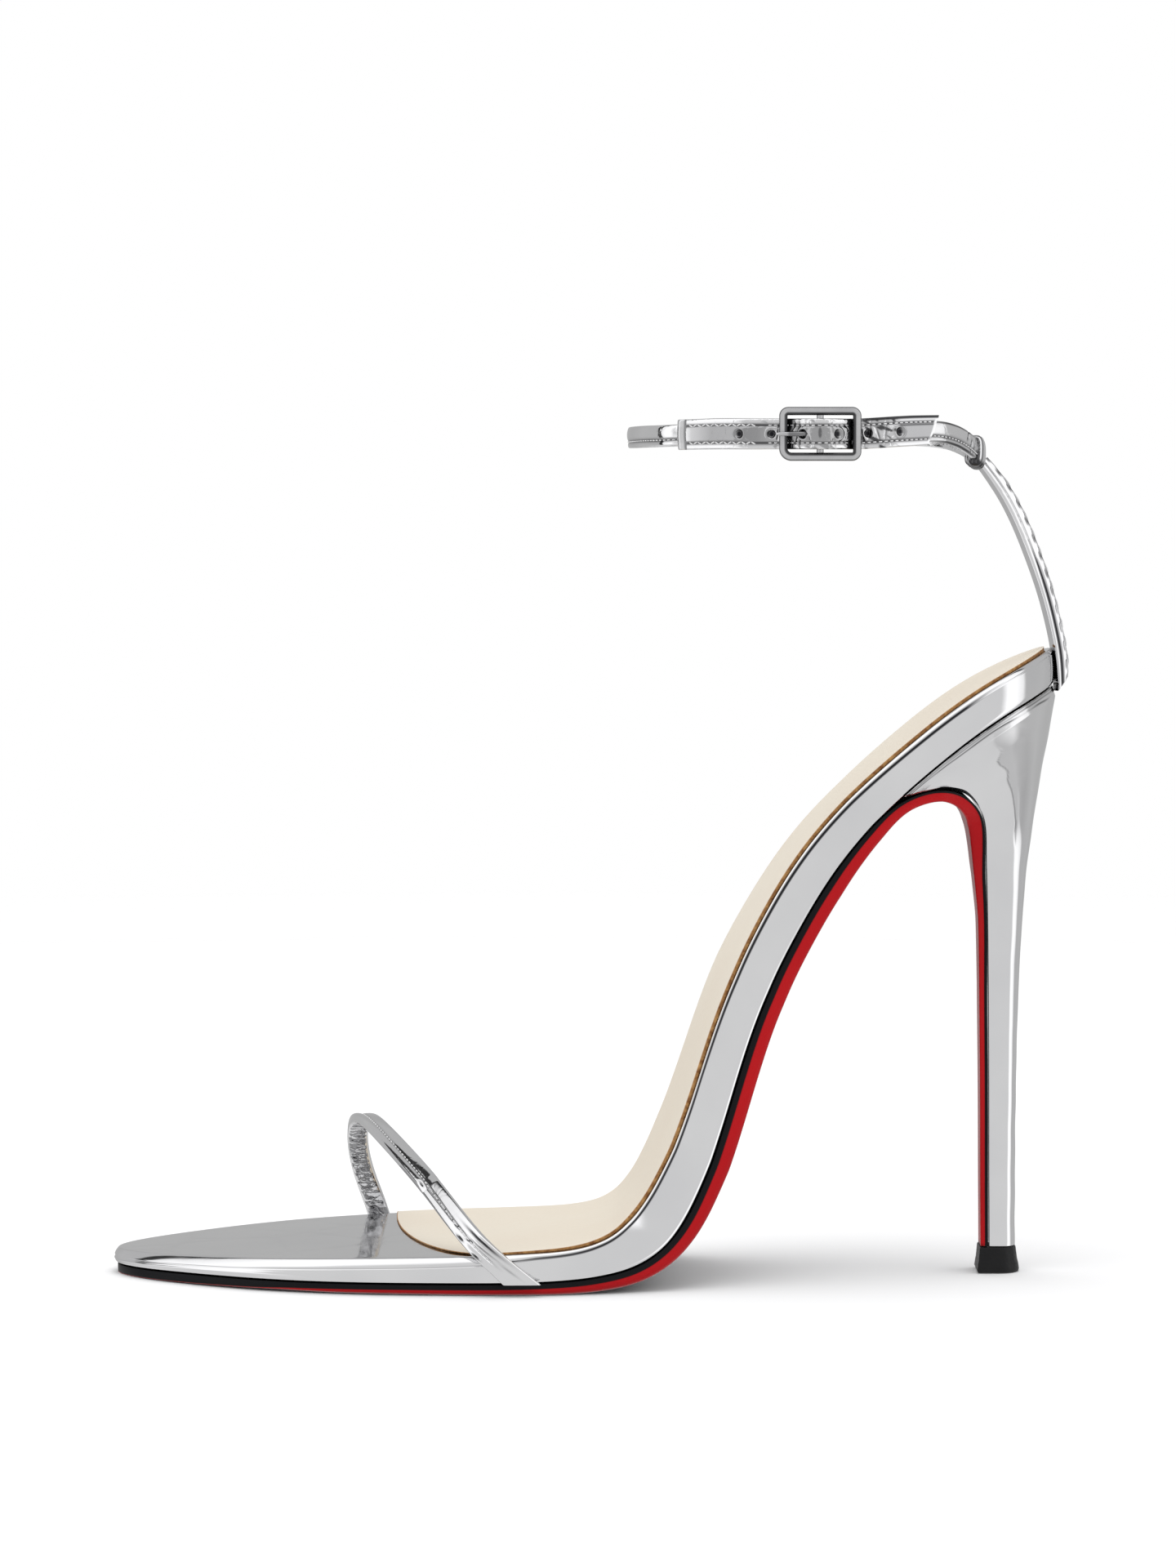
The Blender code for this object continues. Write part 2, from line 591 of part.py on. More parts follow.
def make_ankle_strap():
    centre, sizes = strap_points(ankle_table(), 3)
    outward = np.gradient(centre, axis=0)[:, [1, 0, 2]] * np.array([1, -1, 0])
    piece = strap_loft("ankle_strap", centre, sizes, outward, points=8)
    rise, rise_sizes = strap_points(HEEL_STRAP, 3)
    rising = strap_loft("heel_strap_form", rise, rise_sizes, np.tile([1.0, 0, 0.3], (len(rise), 1)))
    loop, loop_sizes = strap_points(STRAP_SLEEVE, 3)
    sleeve = strap_loft("strap_sleeve_form", loop, loop_sizes, np.tile([1.0, 0, 0], (len(loop), 1)))
    start, end = prong_line()
    pin = np.linspace(start, end, 4)
    reach = np.full((4, 2), 2 * SLOT_HALF)
    hole = strap_loft("prong_hole_form", pin, reach, np.tile([0.0, -1, 0], (4, 1)), points=8, squareness=0.9)
    low, high = FRAME_Z - SLOT_HALF, FRAME_Z + SLOT_HALF
    slot = upright_cylinder("eye_slot_form", BAR_X, BAR_Y, low, high, EYE_OUTER + 0.15)
    joined(piece, [rising, sleeve], "UNION")
    joined(piece, [hole, slot], "DIFFERENCE")
    return piece


def closed_loft(name, rows):
    # Skins rows round a closed loop, so that the last row meets the first.
    count = len(rows[0])
    total = len(rows)
    faces = []
    for i in range(total):
        faces += ring_faces(count, i * count, (i + 1) % total * count)
    return finished(name, np.concatenate(rows), faces)


def make_buckle_frame():
    corner_turns = np.radians(np.linspace(0, 90, 5))
    rows = []
    section = np.arange(10) * 2 * math.pi / 10
    for quarter in range(4):
        sign_x = (1, -1, -1, 1)[quarter]
        sign_z = (1, 1, -1, -1)[quarter]
        middle_x = BAR_X + sign_x * (FRAME_LONG / 2 - FRAME_CORNER)
        middle_z = FRAME_Z + sign_z * (FRAME_TALL / 2 - FRAME_CORNER)
        for turn in corner_turns + quarter * math.pi / 2:
            out = np.array([math.cos(turn), 0, math.sin(turn)])
            centre = np.array([middle_x, FRAME_Y, middle_z]) + FRAME_CORNER * out
            ring = np.cos(section)[:, None] * out + np.sin(section)[:, None] * np.array([0, 1, 0])
            rows.append(centre + FRAME_BAR * ring)
    frame = closed_loft("buckle_frame", rows)
    low, high = FRAME_Z - FRAME_TALL / 2, FRAME_Z + FRAME_TALL / 2
    bar = upright_cylinder("middle_bar_form", BAR_X, BAR_Y, low, high, BAR_RADIUS, points=12)
    joined(frame, [bar], "UNION")
    return frame


def make_buckle_prong():
    start, end = prong_line()
    centre = np.linspace(start, end, 6)
    sizes = np.linspace((2 * PRONG_HALF, 2 * PRONG_HALF), (1.3 * PRONG_HALF, 1.5 * PRONG_HALF), 6)
    prong = strap_loft("buckle_prong", centre, sizes, np.tile([0.0, -1, 0], (6, 1)), points=8, squareness=0.9)
    inner = BAR_RADIUS + FINE_GAP
    middle = (inner + EYE_OUTER) / 2
    section = np.arange(8) * 2 * math.pi / 8
    rows = []
    for turn in np.arange(16) * 2 * math.pi / 16:
        out = np.array([math.cos(turn), math.sin(turn), 0])
        centre = np.array([BAR_X, BAR_Y, FRAME_Z]) + middle * out
        away = (EYE_OUTER - inner) / 2 * np.cos(section)[:, None] * out
        rows.append(centre + away + PRONG_HALF * np.sin(section)[:, None] * np.array([0, 0, 1]))
    eye = closed_loft("prong_eye_form", rows)
    joined(prong, [eye], "UNION")
    return prong


for old in list(bpy.data.objects):
    bpy.data.objects.remove(old, do_unlink=True)
make_outsole()
make_insole_board()
make_insole_cover()
make_sock_lining()
make_heel()
make_heel_tip()
make_toe_strap()
make_ankle_strap()
make_buckle_frame()
make_buckle_prong()
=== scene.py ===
import math

import bmesh
import bpy
import numpy as np
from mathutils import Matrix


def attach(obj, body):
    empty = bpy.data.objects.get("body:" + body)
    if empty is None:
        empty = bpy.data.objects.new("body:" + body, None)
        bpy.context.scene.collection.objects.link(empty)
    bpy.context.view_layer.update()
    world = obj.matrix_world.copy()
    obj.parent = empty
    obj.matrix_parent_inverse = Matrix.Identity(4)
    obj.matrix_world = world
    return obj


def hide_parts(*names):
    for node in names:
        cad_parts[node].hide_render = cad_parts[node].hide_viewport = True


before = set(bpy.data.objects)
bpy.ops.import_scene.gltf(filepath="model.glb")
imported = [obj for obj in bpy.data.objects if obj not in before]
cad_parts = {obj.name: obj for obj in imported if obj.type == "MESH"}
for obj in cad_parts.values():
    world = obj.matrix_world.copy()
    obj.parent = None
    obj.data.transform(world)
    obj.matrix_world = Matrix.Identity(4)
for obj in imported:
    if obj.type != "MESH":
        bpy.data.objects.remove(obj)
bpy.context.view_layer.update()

# Looks of a left-foot high heel sandal. Lengths are in millimetres on the shoe's own axes:
# x from toe to heel, y from the outer to the inner side, z up. makePiece turns them into metres.
mm = 0.001  # in metres
centreShift = np.array([-0.6, 1.6, 0.0])  # puts the part's middle over the origin
clearance = 0.3  # between pieces that lie on each other
scene = bpy.context.scene
print("frame loaded:", ", ".join(sorted(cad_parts)))

stage = {
    "cameraPlace": (-0.6, -1265.4, 170.5),
    "cameraDrop": (440, 7730),  # downward tilt as rise over reach, in photo pixels
    "focalPixels": 7730,
    "photoHeight": 1920,
    "floorHalf": 1.1,  # the floor fades into the white room towards its rim
    "floorFade": [(0.0, 1.0), (0.25, 1.0), (0.95, 0.0)],  # share of floorHalf from the middle, how solid
    "floorColour": (0.86, 0.86, 0.865),
    "topLight": {"place": (0.0, -0.3, 1.5), "lean": (-0.16, 0.06, 0.0), "size": 1.2, "watts": 6.0},
    "worldStrength": 1.03,
    "fillStrength": 1.12,
}


def makeCamera():
    # A long lens tilted down by the angle whose tangent is rise over reach.
    camera = bpy.data.objects.new("photoCamera", bpy.data.cameras.new("photoCamera"))
    scene.collection.objects.link(camera)
    camera.location = np.array(stage["cameraPlace"]) * mm
    rise, reach = stage["cameraDrop"]
    camera.rotation_euler = (math.pi / 2 - math.atan(rise / reach), 0, 0)
    camera.data.sensor_fit = "VERTICAL"
    camera.data.sensor_height = 36
    camera.data.lens = stage["focalPixels"] / stage["photoHeight"] * 36
    camera.data.clip_end = 50
    scene.camera = camera


def newNode(tree, kind, **settings):
    # A shader node; settings that name an input set its value, the others are the node's own.
    node = tree.nodes.new(kind)
    for name, value in settings.items():
        if hasattr(node, name):
            setattr(node, name, value)
        else:
            node.inputs[name].default_value = value
    return node


def ramp(tree, source, stops):
    # A colour ramp whose stops are (place, grey or colour).
    node = tree.nodes.new("ShaderNodeValToRGB")
    marks = node.color_ramp.elements
    while len(marks) < len(stops):
        marks.new(0.5)
    for mark, (place, shade) in zip(marks, stops):
        mark.position = place
        mark.color = (*shade, 1) if isinstance(shade, tuple) else (shade, shade, shade, 1)
    tree.links.new(source, node.inputs["Fac"])
    return node.outputs["Color"]


def maths(tree, operation, first, second=None, third=None):
    # A math node between sockets or plain numbers.
    node = tree.nodes.new("ShaderNodeMath")
    node.operation = operation
    for place, value in enumerate((first, second, third)):
        if value is None:
            continue
        if isinstance(value, (int, float)):
            node.inputs[place].default_value = value
        else:
            tree.links.new(value, node.inputs[place])
    return node.outputs[0]


def mixColour(tree, factor, first, second):
    # The first colour where the factor is 0, the second where it is 1.
    node = newNode(tree, "ShaderNodeMix", data_type="RGBA")
    for place, value in ((0, factor), (6, first), (7, second)):
        if isinstance(value, tuple):
            node.inputs[place].default_value = (*value, 1)
        elif isinstance(value, (int, float)):
            node.inputs[place].default_value = value
        else:
            tree.links.new(value, node.inputs[place])
    return node.outputs[2]


roomLook = {
    # Brightness by the way a mirror's ray points, from 0 towards the camera to 1 away from it.
    "walls": [(0.0, 1.0), (0.40, 1.0), (0.50, 0.74), (0.85, 0.69), (0.95, 0.55), (1.0, 0.52)],
    "sidePanels": [(0.0, 0.0), (0.19, 0.0), (0.26, 1.0), (0.52, 1.0), (0.58, 0.0), (1.0, 0.0)],
    "ceilingPanels": [(0.0, 0.0), (0.16, 0.0), (0.23, 1.0), (0.53, 1.0), (0.56, 0.0), (1.0, 0.0)],
    "panelLight": 0.75,
    "ceilingFrom": [(0.0, 0.0), (0.45, 0.0), (0.65, 1.0), (1.0, 1.0)],  # rise of the ray, ceiling's share
    "gapAt": 0.19,  # middle of the dark gap, towards the back
    "gap": [(0.0, 1.0), (0.07, 1.0), (0.10, 0.0), (1.0, 0.0)],  # distance from its middle, darkness
    "gapSlant": 0.9,
    "gapPart": [(0.0, 0.0), (0.25, 0.0), (0.45, 1.0), (1.0, 1.0)],  # the gap shows high up and to the left
    "gapDark": 0.93,
    "ground": [(0.0, 1.0), (0.2, 1.0), (0.32, 0.0), (1.0, 0.0)],  # white below
}


def mixShader(tree, factor, first, second):
    # The first shader where the factor is 0, the second where it is 1.
    node = newNode(tree, "ShaderNodeMixShader")
    for place, source in enumerate((factor, first, second)):
        tree.links.new(source, node.inputs[place])
    return node.outputs[0]


def makeWorld():
    # A soft white room. Mirrors see even light in front, brighter walls at the sides, a greyer back wall
    # and a narrow dark gap between the ceiling panels; plain surfaces get the same light from all sides.
    look = roomLook
    world = bpy.data.worlds.new("softRoom")
    scene.world = world
    world.use_nodes = True
    tree = world.node_tree
    tree.nodes.clear()
    where = newNode(tree, "ShaderNodeTexCoord")
    parts = newNode(tree, "ShaderNodeSeparateXYZ")
    tree.links.new(where.outputs["Generated"], parts.inputs[0])
    x, y, z = parts.outputs
    backness = maths(tree, "MULTIPLY_ADD", y, 0.5, 0.5)
    walls = ramp(tree, backness, look["walls"])
    rising = ramp(tree, z, look["ceilingFrom"])
    sides = ramp(tree, backness, look["sidePanels"])
    panels = mixColour(tree, rising, sides, ramp(tree, backness, look["ceilingPanels"]))
    bright = maths(tree, "MULTIPLY", panels, look["panelLight"])
    fromGap = maths(tree, "ABSOLUTE", maths(tree, "SUBTRACT", y, look["gapAt"]))
    upLeft = maths(tree, "SUBTRACT", z, maths(tree, "MULTIPLY", x, look["gapSlant"]))
    gap = maths(tree, "MULTIPLY", ramp(tree, fromGap, look["gap"]), ramp(tree, upLeft, look["gapPart"]))
    kept = maths(tree, "MULTIPLY_ADD", gap, -look["gapDark"], 1.0)
    shade = maths(tree, "MULTIPLY", maths(tree, "ADD", walls, bright), kept)
    height = maths(tree, "MULTIPLY_ADD", z, 0.5, 0.5)
    shade = mixColour(tree, ramp(tree, height, look["ground"]), shade, (1.0, 1.0, 1.0))
    room = newNode(tree, "ShaderNodeBackground", Strength=stage["worldStrength"])
    tree.links.new(shade, room.inputs["Color"])
    soft = newNode(tree, "ShaderNodeBackground", Color=(1, 1, 1, 1), Strength=stage["fillStrength"])
    plain = newNode(tree, "ShaderNodeBackground", Color=(1, 1, 1, 1), Strength=1.0)
    path = newNode(tree, "ShaderNodeLightPath")
    lit = mixShader(tree, path.outputs["Is Glossy Ray"], soft.outputs[0], room.outputs[0])
    seen = mixShader(tree, path.outputs["Is Camera Ray"], lit, plain.outputs[0])
    out = newNode(tree, "ShaderNodeOutputWorld")
    tree.links.new(seen, out.inputs["Surface"])


def makeLight():
    # One wide soft lamp overhead, which mirrors don't see.
    lamp = bpy.data.lights.new("ceilingPanel", "AREA")
    lamp.shape = "DISK"
    lamp.size = stage["topLight"]["size"]
    lamp.energy = stage["topLight"]["watts"]
    panel = bpy.data.objects.new("ceilingPanel", lamp)
    scene.collection.objects.link(panel)
    panel.location = stage["topLight"]["place"]
    panel.rotation_euler = stage["topLight"]["lean"]
    panel.visible_glossy = False


def makeFloor():
    # A pale square that fades out with the distance from its middle.
    half = stage["floorHalf"]
    mesh = bpy.data.meshes.new("floor")
    corners = [(-half, -half, 0), (half, -half, 0), (half, half, 0), (-half, half, 0)]
    mesh.from_pydata(corners, [], [(0, 1, 2, 3)])
    floor = bpy.data.objects.new("floor", mesh)
    scene.collection.objects.link(floor)
    material = bpy.data.materials.new("paleFloor")
    material.use_nodes = True
    tree = material.node_tree
    shader = tree.nodes["Principled BSDF"]
    shader.inputs["Base Color"].default_value = (*stage["floorColour"], 1)
    shader.inputs["Roughness"].default_value = 0.9
    shader.inputs["Specular IOR Level"].default_value = 0.1
    away = newNode(tree, "ShaderNodeVectorMath", operation="LENGTH")
    tree.links.new(newNode(tree, "ShaderNodeTexCoord").outputs["Object"], away.inputs[0])
    near = maths(tree, "DIVIDE", away.outputs["Value"], half)
    solid = ramp(tree, near, stage["floorFade"])
    glossy = newNode(tree, "ShaderNodeLightPath").outputs["Is Glossy Ray"]  # mirrors see the room alone
    shown = maths(tree, "SUBTRACT", 1.0, glossy)
    tree.links.new(maths(tree, "MULTIPLY", solid, shown), shader.inputs["Alpha"])
    mesh.materials.append(material)


scene.view_settings.view_transform = "Standard"
makeCamera()
makeWorld()
makeLight()
makeFloor()
print("camera, room and floor made")


def startGroup(name, takes, gives):
    # An empty shader group with named inputs (kind, value) and outputs (kind).
    group = bpy.data.node_groups.new(name, "ShaderNodeTree")
    for label, (kind, value) in takes.items():
        group.interface.new_socket(label, in_out="INPUT", socket_type=kind).default_value = value
    for label, kind in gives.items():
        group.interface.new_socket(label, in_out="OUTPUT", socket_type=kind)
    return group, group.nodes.new("NodeGroupInput").outputs, group.nodes.new("NodeGroupOutput").inputs


def objectPlace(tree):
    # The object's own coordinates, in metres.
    return newNode(tree, "ShaderNodeTexCoord").outputs["Object"]


def noise(tree, scale, detail=2.0, place=None):
    # Noise whose scale is a number or a socket.
    node = newNode(tree, "ShaderNodeTexNoise", Detail=detail)
    tree.links.new(place or objectPlace(tree), node.inputs["Vector"])
    if isinstance(scale, (int, float)):
        node.inputs["Scale"].default_value = scale
    else:
        tree.links.new(scale, node.inputs["Scale"])
    return node.outputs


def makeFoilCrinkle():
    # Crumpled foil: broad waves plus creased cells, bent by a slow warp. Crease is 1 on the cell borders.
    group, takes, gives = startGroup(
        "foilCrinkle", {"Scale": ("NodeSocketFloat", 300.0)},
        {"Height": "NodeSocketFloat", "Crease": "NodeSocketFloat"},
    )
    bend = noise(group, maths(group, "MULTIPLY", takes["Scale"], 0.5))
    warp = newNode(group, "ShaderNodeVectorMath", operation="MULTIPLY_ADD")
    warp.inputs[1].default_value = (0.004, 0.004, 0.004)
    group.links.new(bend["Color"], warp.inputs[0])
    group.links.new(objectPlace(group), warp.inputs[2])
    cells = newNode(group, "ShaderNodeTexVoronoi", feature="DISTANCE_TO_EDGE")
    group.links.new(warp.outputs[0], cells.inputs["Vector"])
    group.links.new(takes["Scale"], cells.inputs["Scale"])
    waves = noise(group, takes["Scale"], 3.0, warp.outputs[0])["Fac"]
    crease = ramp(group, cells.outputs["Distance"], [(0.0, 1.0), (0.12, 0.25), (0.3, 0.0)])
    group.links.new(crease, gives["Crease"])
    dips = maths(group, "MULTIPLY", crease, 0.35)
    group.links.new(maths(group, "SUBTRACT", waves, dips), gives["Height"])
    return group


def makeFineGrain():
    # Fine leather grain: small rounded pebbles with pores between them.
    group, takes, gives = startGroup(
        "fineGrain", {"Scale": ("NodeSocketFloat", 1500.0)},
        {"Height": "NodeSocketFloat", "Pores": "NodeSocketFloat"},
    )
    cells = newNode(group, "ShaderNodeTexVoronoi", feature="SMOOTH_F1")
    group.links.new(objectPlace(group), cells.inputs["Vector"])
    group.links.new(takes["Scale"], cells.inputs["Scale"])
    fuzz = noise(group, maths(group, "MULTIPLY", takes["Scale"], 0.6))["Fac"]
    pores = ramp(group, cells.outputs["Distance"], [(0.35, 0.0), (0.75, 1.0)])
    group.links.new(pores, gives["Pores"])
    dips = maths(group, "MULTIPLY", pores, 0.5)
    group.links.new(maths(group, "SUBTRACT", fuzz, dips), gives["Height"])
    return group


def makeHandledTone():
    # Two colours mixed in soft clouds, for the uneven tone of a handled surface.
    group, takes, gives = startGroup(
        "handledTone",
        {
            "Colour": ("NodeSocketColor", (0.8, 0.8, 0.8, 1)),
            "Other": ("NodeSocketColor", (0.6, 0.6, 0.6, 1)),
            "Scale": ("NodeSocketFloat", 60.0),
        },
        {"Colour": "NodeSocketColor", "Cloud": "NodeSocketFloat"},
    )
    cloud = ramp(group, noise(group, takes["Scale"], 4.0)["Fac"], [(0.3, 0.0), (0.7, 1.0)])
    group.links.new(cloud, gives["Cloud"])
    group.links.new(mixColour(group, cloud, takes["Colour"], takes["Other"]), gives["Colour"])
    return group


foilCrinkle = makeFoilCrinkle()
fineGrain = makeFineGrain()
handledTone = makeHandledTone()


def useGroup(tree, group, **values):
    # Puts a shader group into a tree and sets its inputs.
    node = tree.nodes.new("ShaderNodeGroup")
    node.node_tree = group
    for name, value in values.items():
        node.inputs[name].default_value = (*value, 1) if isinstance(value, tuple) else value
    return node.outputs


def meshValue(tree, name):
    # A number that the mesh stores at each of its points.
    return newNode(tree, "ShaderNodeAttribute", attribute_name=name).outputs["Fac"]


def newMaterial(name, **settings):
    # A plain material; an underscore in a setting's name stands for a space.
    material = bpy.data.materials.new(name)
    material.use_nodes = True
    shader = material.node_tree.nodes["Principled BSDF"]
    for label, value in settings.items():
        shader.inputs[label.replace("_", " ")].default_value = value
    return material, material.node_tree, shader.inputs


def addBump(tree, inputs, height, depth):
    # Bump with its depth in millimetres.
    bump = newNode(tree, "ShaderNodeBump", Strength=1.0, Distance=depth * mm)
    tree.links.new(height, bump.inputs["Height"])
    tree.links.new(bump.outputs["Normal"], inputs["Normal"])


def clouds(tree, look, name):
    # Two colours in clouds: a colour, its other colour and their scale from a piece's dictionary.
    other, scale = look[name + "Other"], look[name + "Scale"]
    return useGroup(tree, handledTone, Colour=look[name], Other=other, Scale=scale)


def grainedFinish(name, colours, toneScale, grainScale, depth, rough=None, **settings):
    # Two colours in soft clouds under a fine grain. Roughness is the first of the rough pair
    # times the pores, plus the second.
    material, tree, inputs = newMaterial(name, **settings)
    tone = useGroup(tree, handledTone, Colour=colours[0], Other=colours[1], Scale=toneScale)
    grain = useGroup(tree, fineGrain, Scale=grainScale)
    tree.links.new(tone["Colour"], inputs["Base Color"])
    if rough:
        tree.links.new(maths(tree, "MULTIPLY_ADD", grain["Pores"], *rough), inputs["Roughness"])
    addBump(tree, inputs, grain["Height"], depth)
    return material


silverFinish = {
    "colour": (0.60, 0.60, 0.605),
    "colourOther": (0.55, 0.55, 0.56),
    "colourScale": 45.0,
    # colour of the painted shade and painted dark reflections
    "paintedShadeColour": (0.012, 0.012, 0.014),
    "smooth": 0.05,  # roughness of the mirror film
    "creased": 0.16,  # more roughness where it is creased
    "cloudy": 0.03,  # and in its clouds
}


def silverLeather(name, crinkleScale, crinkleDepth, steady=0.15):
    # Mirror leather. The mesh says where it is crinkled, and its fold value says where painted shade and
    # painted dark reflections darken the colour.
    look = silverFinish
    material, tree, inputs = newMaterial(name, Metallic=1.0)
    crinkle = useGroup(tree, foilCrinkle, Scale=crinkleScale)
    amount = maths(tree, "ADD", meshValue(tree, "crinkle"), steady)
    tone = clouds(tree, look, "colour")
    # painted shade: the fold value mixes the colour towards near black
    colour = mixColour(tree, meshValue(tree, "fold"), tone["Colour"], look["paintedShadeColour"])
    tree.links.new(colour, inputs["Base Color"])
    creased = maths(tree, "MULTIPLY", crinkle["Crease"], amount)
    creased = maths(tree, "MULTIPLY", creased, look["creased"])
    cloudy = maths(tree, "MULTIPLY_ADD", tone["Cloud"], look["cloudy"], look["smooth"])
    tree.links.new(maths(tree, "ADD", creased, cloudy), inputs["Roughness"])
    addBump(tree, inputs, maths(tree, "MULTIPLY", crinkle["Height"], amount), crinkleDepth)
    return material


def spline(knots, values):
    # Natural cubic through the values, one row or number for each knot.
    knots = np.asarray(knots, float)
    values = np.asarray(values, float).reshape(len(knots), -1)
    step = np.diff(knots)
    slope = np.diff(values, axis=0) / step[:, None]
    inside = np.arange(1, len(knots) - 1)
    system = np.eye(len(knots))
    system[inside, inside - 1] = step[:-1]
    system[inside, inside] = 2 * (step[:-1] + step[1:])
    system[inside, inside + 1] = step[1:]
    right = np.zeros_like(values)
    right[1:-1] = 6 * np.diff(slope, axis=0)
    bend = np.linalg.solve(system, right)

    def at(where):
        # The straight line between two knots plus the cubic terms of their bends.
        where = np.asarray(where, float)
        flat = where.reshape(-1)
        i = np.clip(np.searchsorted(knots, flat) - 1, 0, len(step) - 1)
        width = step[i][:, None]
        before = (knots[i + 1] - flat)[:, None] / width
        after = 1 - before
        bent = (before**3 - before) * bend[i] + (after**3 - after) * bend[i + 1]
        found = before * values[i] + after * values[i + 1] + bent * width**2 / 6
        return found.reshape(where.shape + (values.shape[1:] if values.shape[1] > 1 else ()))

    return at


def lengthsAlong(points):
    # Running length of a line through points: the sum of its steps so far.
    return np.concatenate([[0], np.cumsum(np.linalg.norm(np.diff(points, axis=0), axis=1))])


def unit(vectors):
    # Vectors divided by their own lengths.
    return vectors / np.maximum(np.linalg.norm(vectors, axis=-1, keepdims=True), 1e-9)


def fromTable(where, rows):
    # Reads rows of (place, value) at any place, in straight lines between the rows.
    return np.interp(where, *np.array(rows, float).T)


def fade(where, start, length):
    # 0 up to the start and 1 past the length, straight between; a negative length fades the other way.
    return np.clip((where - start) / length, 0, 1)


def hump(where, middle, half, power=2):
    # 1 at the middle, falling as e to the minus (distance over half width) to the power.
    return np.exp(-(((where - middle) / half) ** power))


def ripple(points, wave, seed):
    # Smooth unevenness between -1 and 1: five sine waves in set directions, about one wave length apart.
    turn = seed + 2.399 * np.arange(5)
    lean = np.cos(1.7 * turn)
    level = np.sqrt(1 - lean**2)
    ways = np.stack([np.cos(turn) * level, np.sin(turn) * level, lean], axis=1)
    speed = 2 * math.pi / (wave * (0.7 + 0.15 * np.arange(5)))
    return np.sin(points @ ways.T * speed + 1.3 * turn).mean(axis=-1) * 1.6


def gridFaces(rows, columns, closeColumns=False, closeRows=False):
    # Quads between neighbouring points of a grid stored row by row.
    row = np.arange(rows if closeRows else rows - 1)[:, None]
    column = np.arange(columns if closeColumns else columns - 1)[None, :]
    nextRow, nextColumn = (row + 1) % rows, (column + 1) % columns
    quads = [row * columns + column, row * columns + nextColumn,
             nextRow * columns + nextColumn, nextRow * columns + column]
    return np.stack(np.broadcast_arrays(*quads), axis=-1).reshape(-1, 4)


def closedEnd(ring):
    # Fills a ring by shrinking it to its middle.
    middle = ring.mean(axis=0)
    return middle + (ring - middle) * np.array([1.0, 0.6, 0.25, 0.0])[:, None, None]


def closedGrids(skin, values, endValues):
    # The skin of a tube and its two closed ends.
    grids = [(skin, gridFaces(*skin.shape[:2], closeColumns=True), values)]
    for end in (closedEnd(skin[0]), closedEnd(skin[-1])):
        grids.append((end, gridFaces(*end.shape[:2], closeColumns=True), endValues))
    return grids


def makePiece(name, grids, material, nodes=(), sharp=50):
    # Joins grids (points, faces, stored values) into one object, welds their seams
    # and turns the faces outwards.
    points, faces, values, start = [], [], {}, 0
    for place, quads, stored in grids:
        flat = np.asarray(place, float).reshape(-1, 3)
        points.append(flat)
        faces.append(np.asarray(quads) + start)
        start += len(flat)
        # the fold value carries painted shade and painted dark reflections into the colour
        for label in ("fold", "crinkle", "edge"):
            value = np.broadcast_to(np.asarray(stored.get(label, 0.0), float), np.asarray(place).shape[:-1])
            values.setdefault(label, []).append(value.reshape(-1))
    mesh = bpy.data.meshes.new(name)
    placed = (np.concatenate(points) + centreShift) * mm
    mesh.from_pydata(placed.tolist(), [], np.concatenate(faces).tolist())
    for label, parts in values.items():
        mesh.attributes.new(label, "FLOAT", "POINT").data.foreach_set("value", np.concatenate(parts))
    work = bmesh.new()
    work.from_mesh(mesh)
    bmesh.ops.remove_doubles(work, verts=work.verts, dist=2e-6)
    bmesh.ops.dissolve_degenerate(work, edges=work.edges, dist=1e-7)
    bmesh.ops.recalc_face_normals(work, faces=work.faces)
    work.to_mesh(mesh)
    work.free()
    mesh.shade_smooth()
    mesh.set_sharp_from_angle(angle=math.radians(sharp))
    mesh.materials.append(material)
    piece = bpy.data.objects.new(name, mesh)
    scene.collection.objects.link(piece)
    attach(piece, "root")
    if nodes:
        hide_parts(*nodes)
    print(name, "made,", len(mesh.polygons), "faces")
    return piece


lastBottom = {
    # Underside of the foot bed in side view, x and z, toe to heel.
    "side": [
        (-95.5, 2.0), (-84, 2.2), (-60, 2.35), (-30, 2.45), (-10, 2.7), (-3, 3.1), (3.2, 3.9), (9.7, 5.9),
        (14.3, 9.0), (17.6, 13.2), (20.6, 19.2), (25.2, 31.7), (29.3, 44.6), (34.1, 57.5), (40.9, 70.5),
        (49.4, 83.5), (61.3, 96.5), (70.1, 104.2), (81.2, 112.3), (93.6, 118.9),
    ],
    # Distance from the toe, outer half width, inner half width.
    "plan": [
        (0, 0, 0), (3, 8.9, 8.2), (7.5, 14.4, 13.2), (15, 20.7, 19.3), (25, 27.4, 25.8), (40, 34.2, 32.3),
        (58, 37.8, 36.4), (72, 38.7, 37.5), (88, 38.4, 34.5), (105, 34.5, 27.8), (120, 29.3, 23.0),
        (140, 24.2, 19.7), (160, 21.9, 19.4), (180, 21.7, 21.2), (200, 22.9, 23.4), (220, 24.4, 24.7),
        (235, 23.6, 23.2), (245, 17.9, 17.0), (250, 9.2, 8.6), (252, 0, 0),
    ],
    # Distance from the toe, thickness, share of the inner lift, lean of the wall towards upright.
    "bed": [
        (0, 3.0, 0, 0), (15, 3.5, 0, 0), (32, 4.2, 0, 0), (50, 4.8, 0, 0), (70, 5.3, 0, 0), (85, 5.7, 0, 0),
        (99, 6.6, 0.1, 0), (108, 8.2, 0.3, 0), (118, 8.5, 0.6, 0), (130, 7.9, 1, 0), (145, 7.4, 1, 0),
        (165, 7.3, 1, 0), (185, 7.4, 0.5, 0), (205, 6.9, 0, 0), (225, 6.7, 0, 0.1), (240, 7.0, 0, 0.6),
        (252, 7.2, 0, 0.9),
    ],
    "innerLift": 1.2,
    "stations": 300,  # along each side of the outline
    "bendAt": 112.0,  # the ball bend, where stations lie closer together
    "bendSpread": 15.0,
    "bendExtra": 2.0,
}
planTable = np.array(lastBottom["plan"], float)
bedTable = np.array(lastBottom["bed"], float)


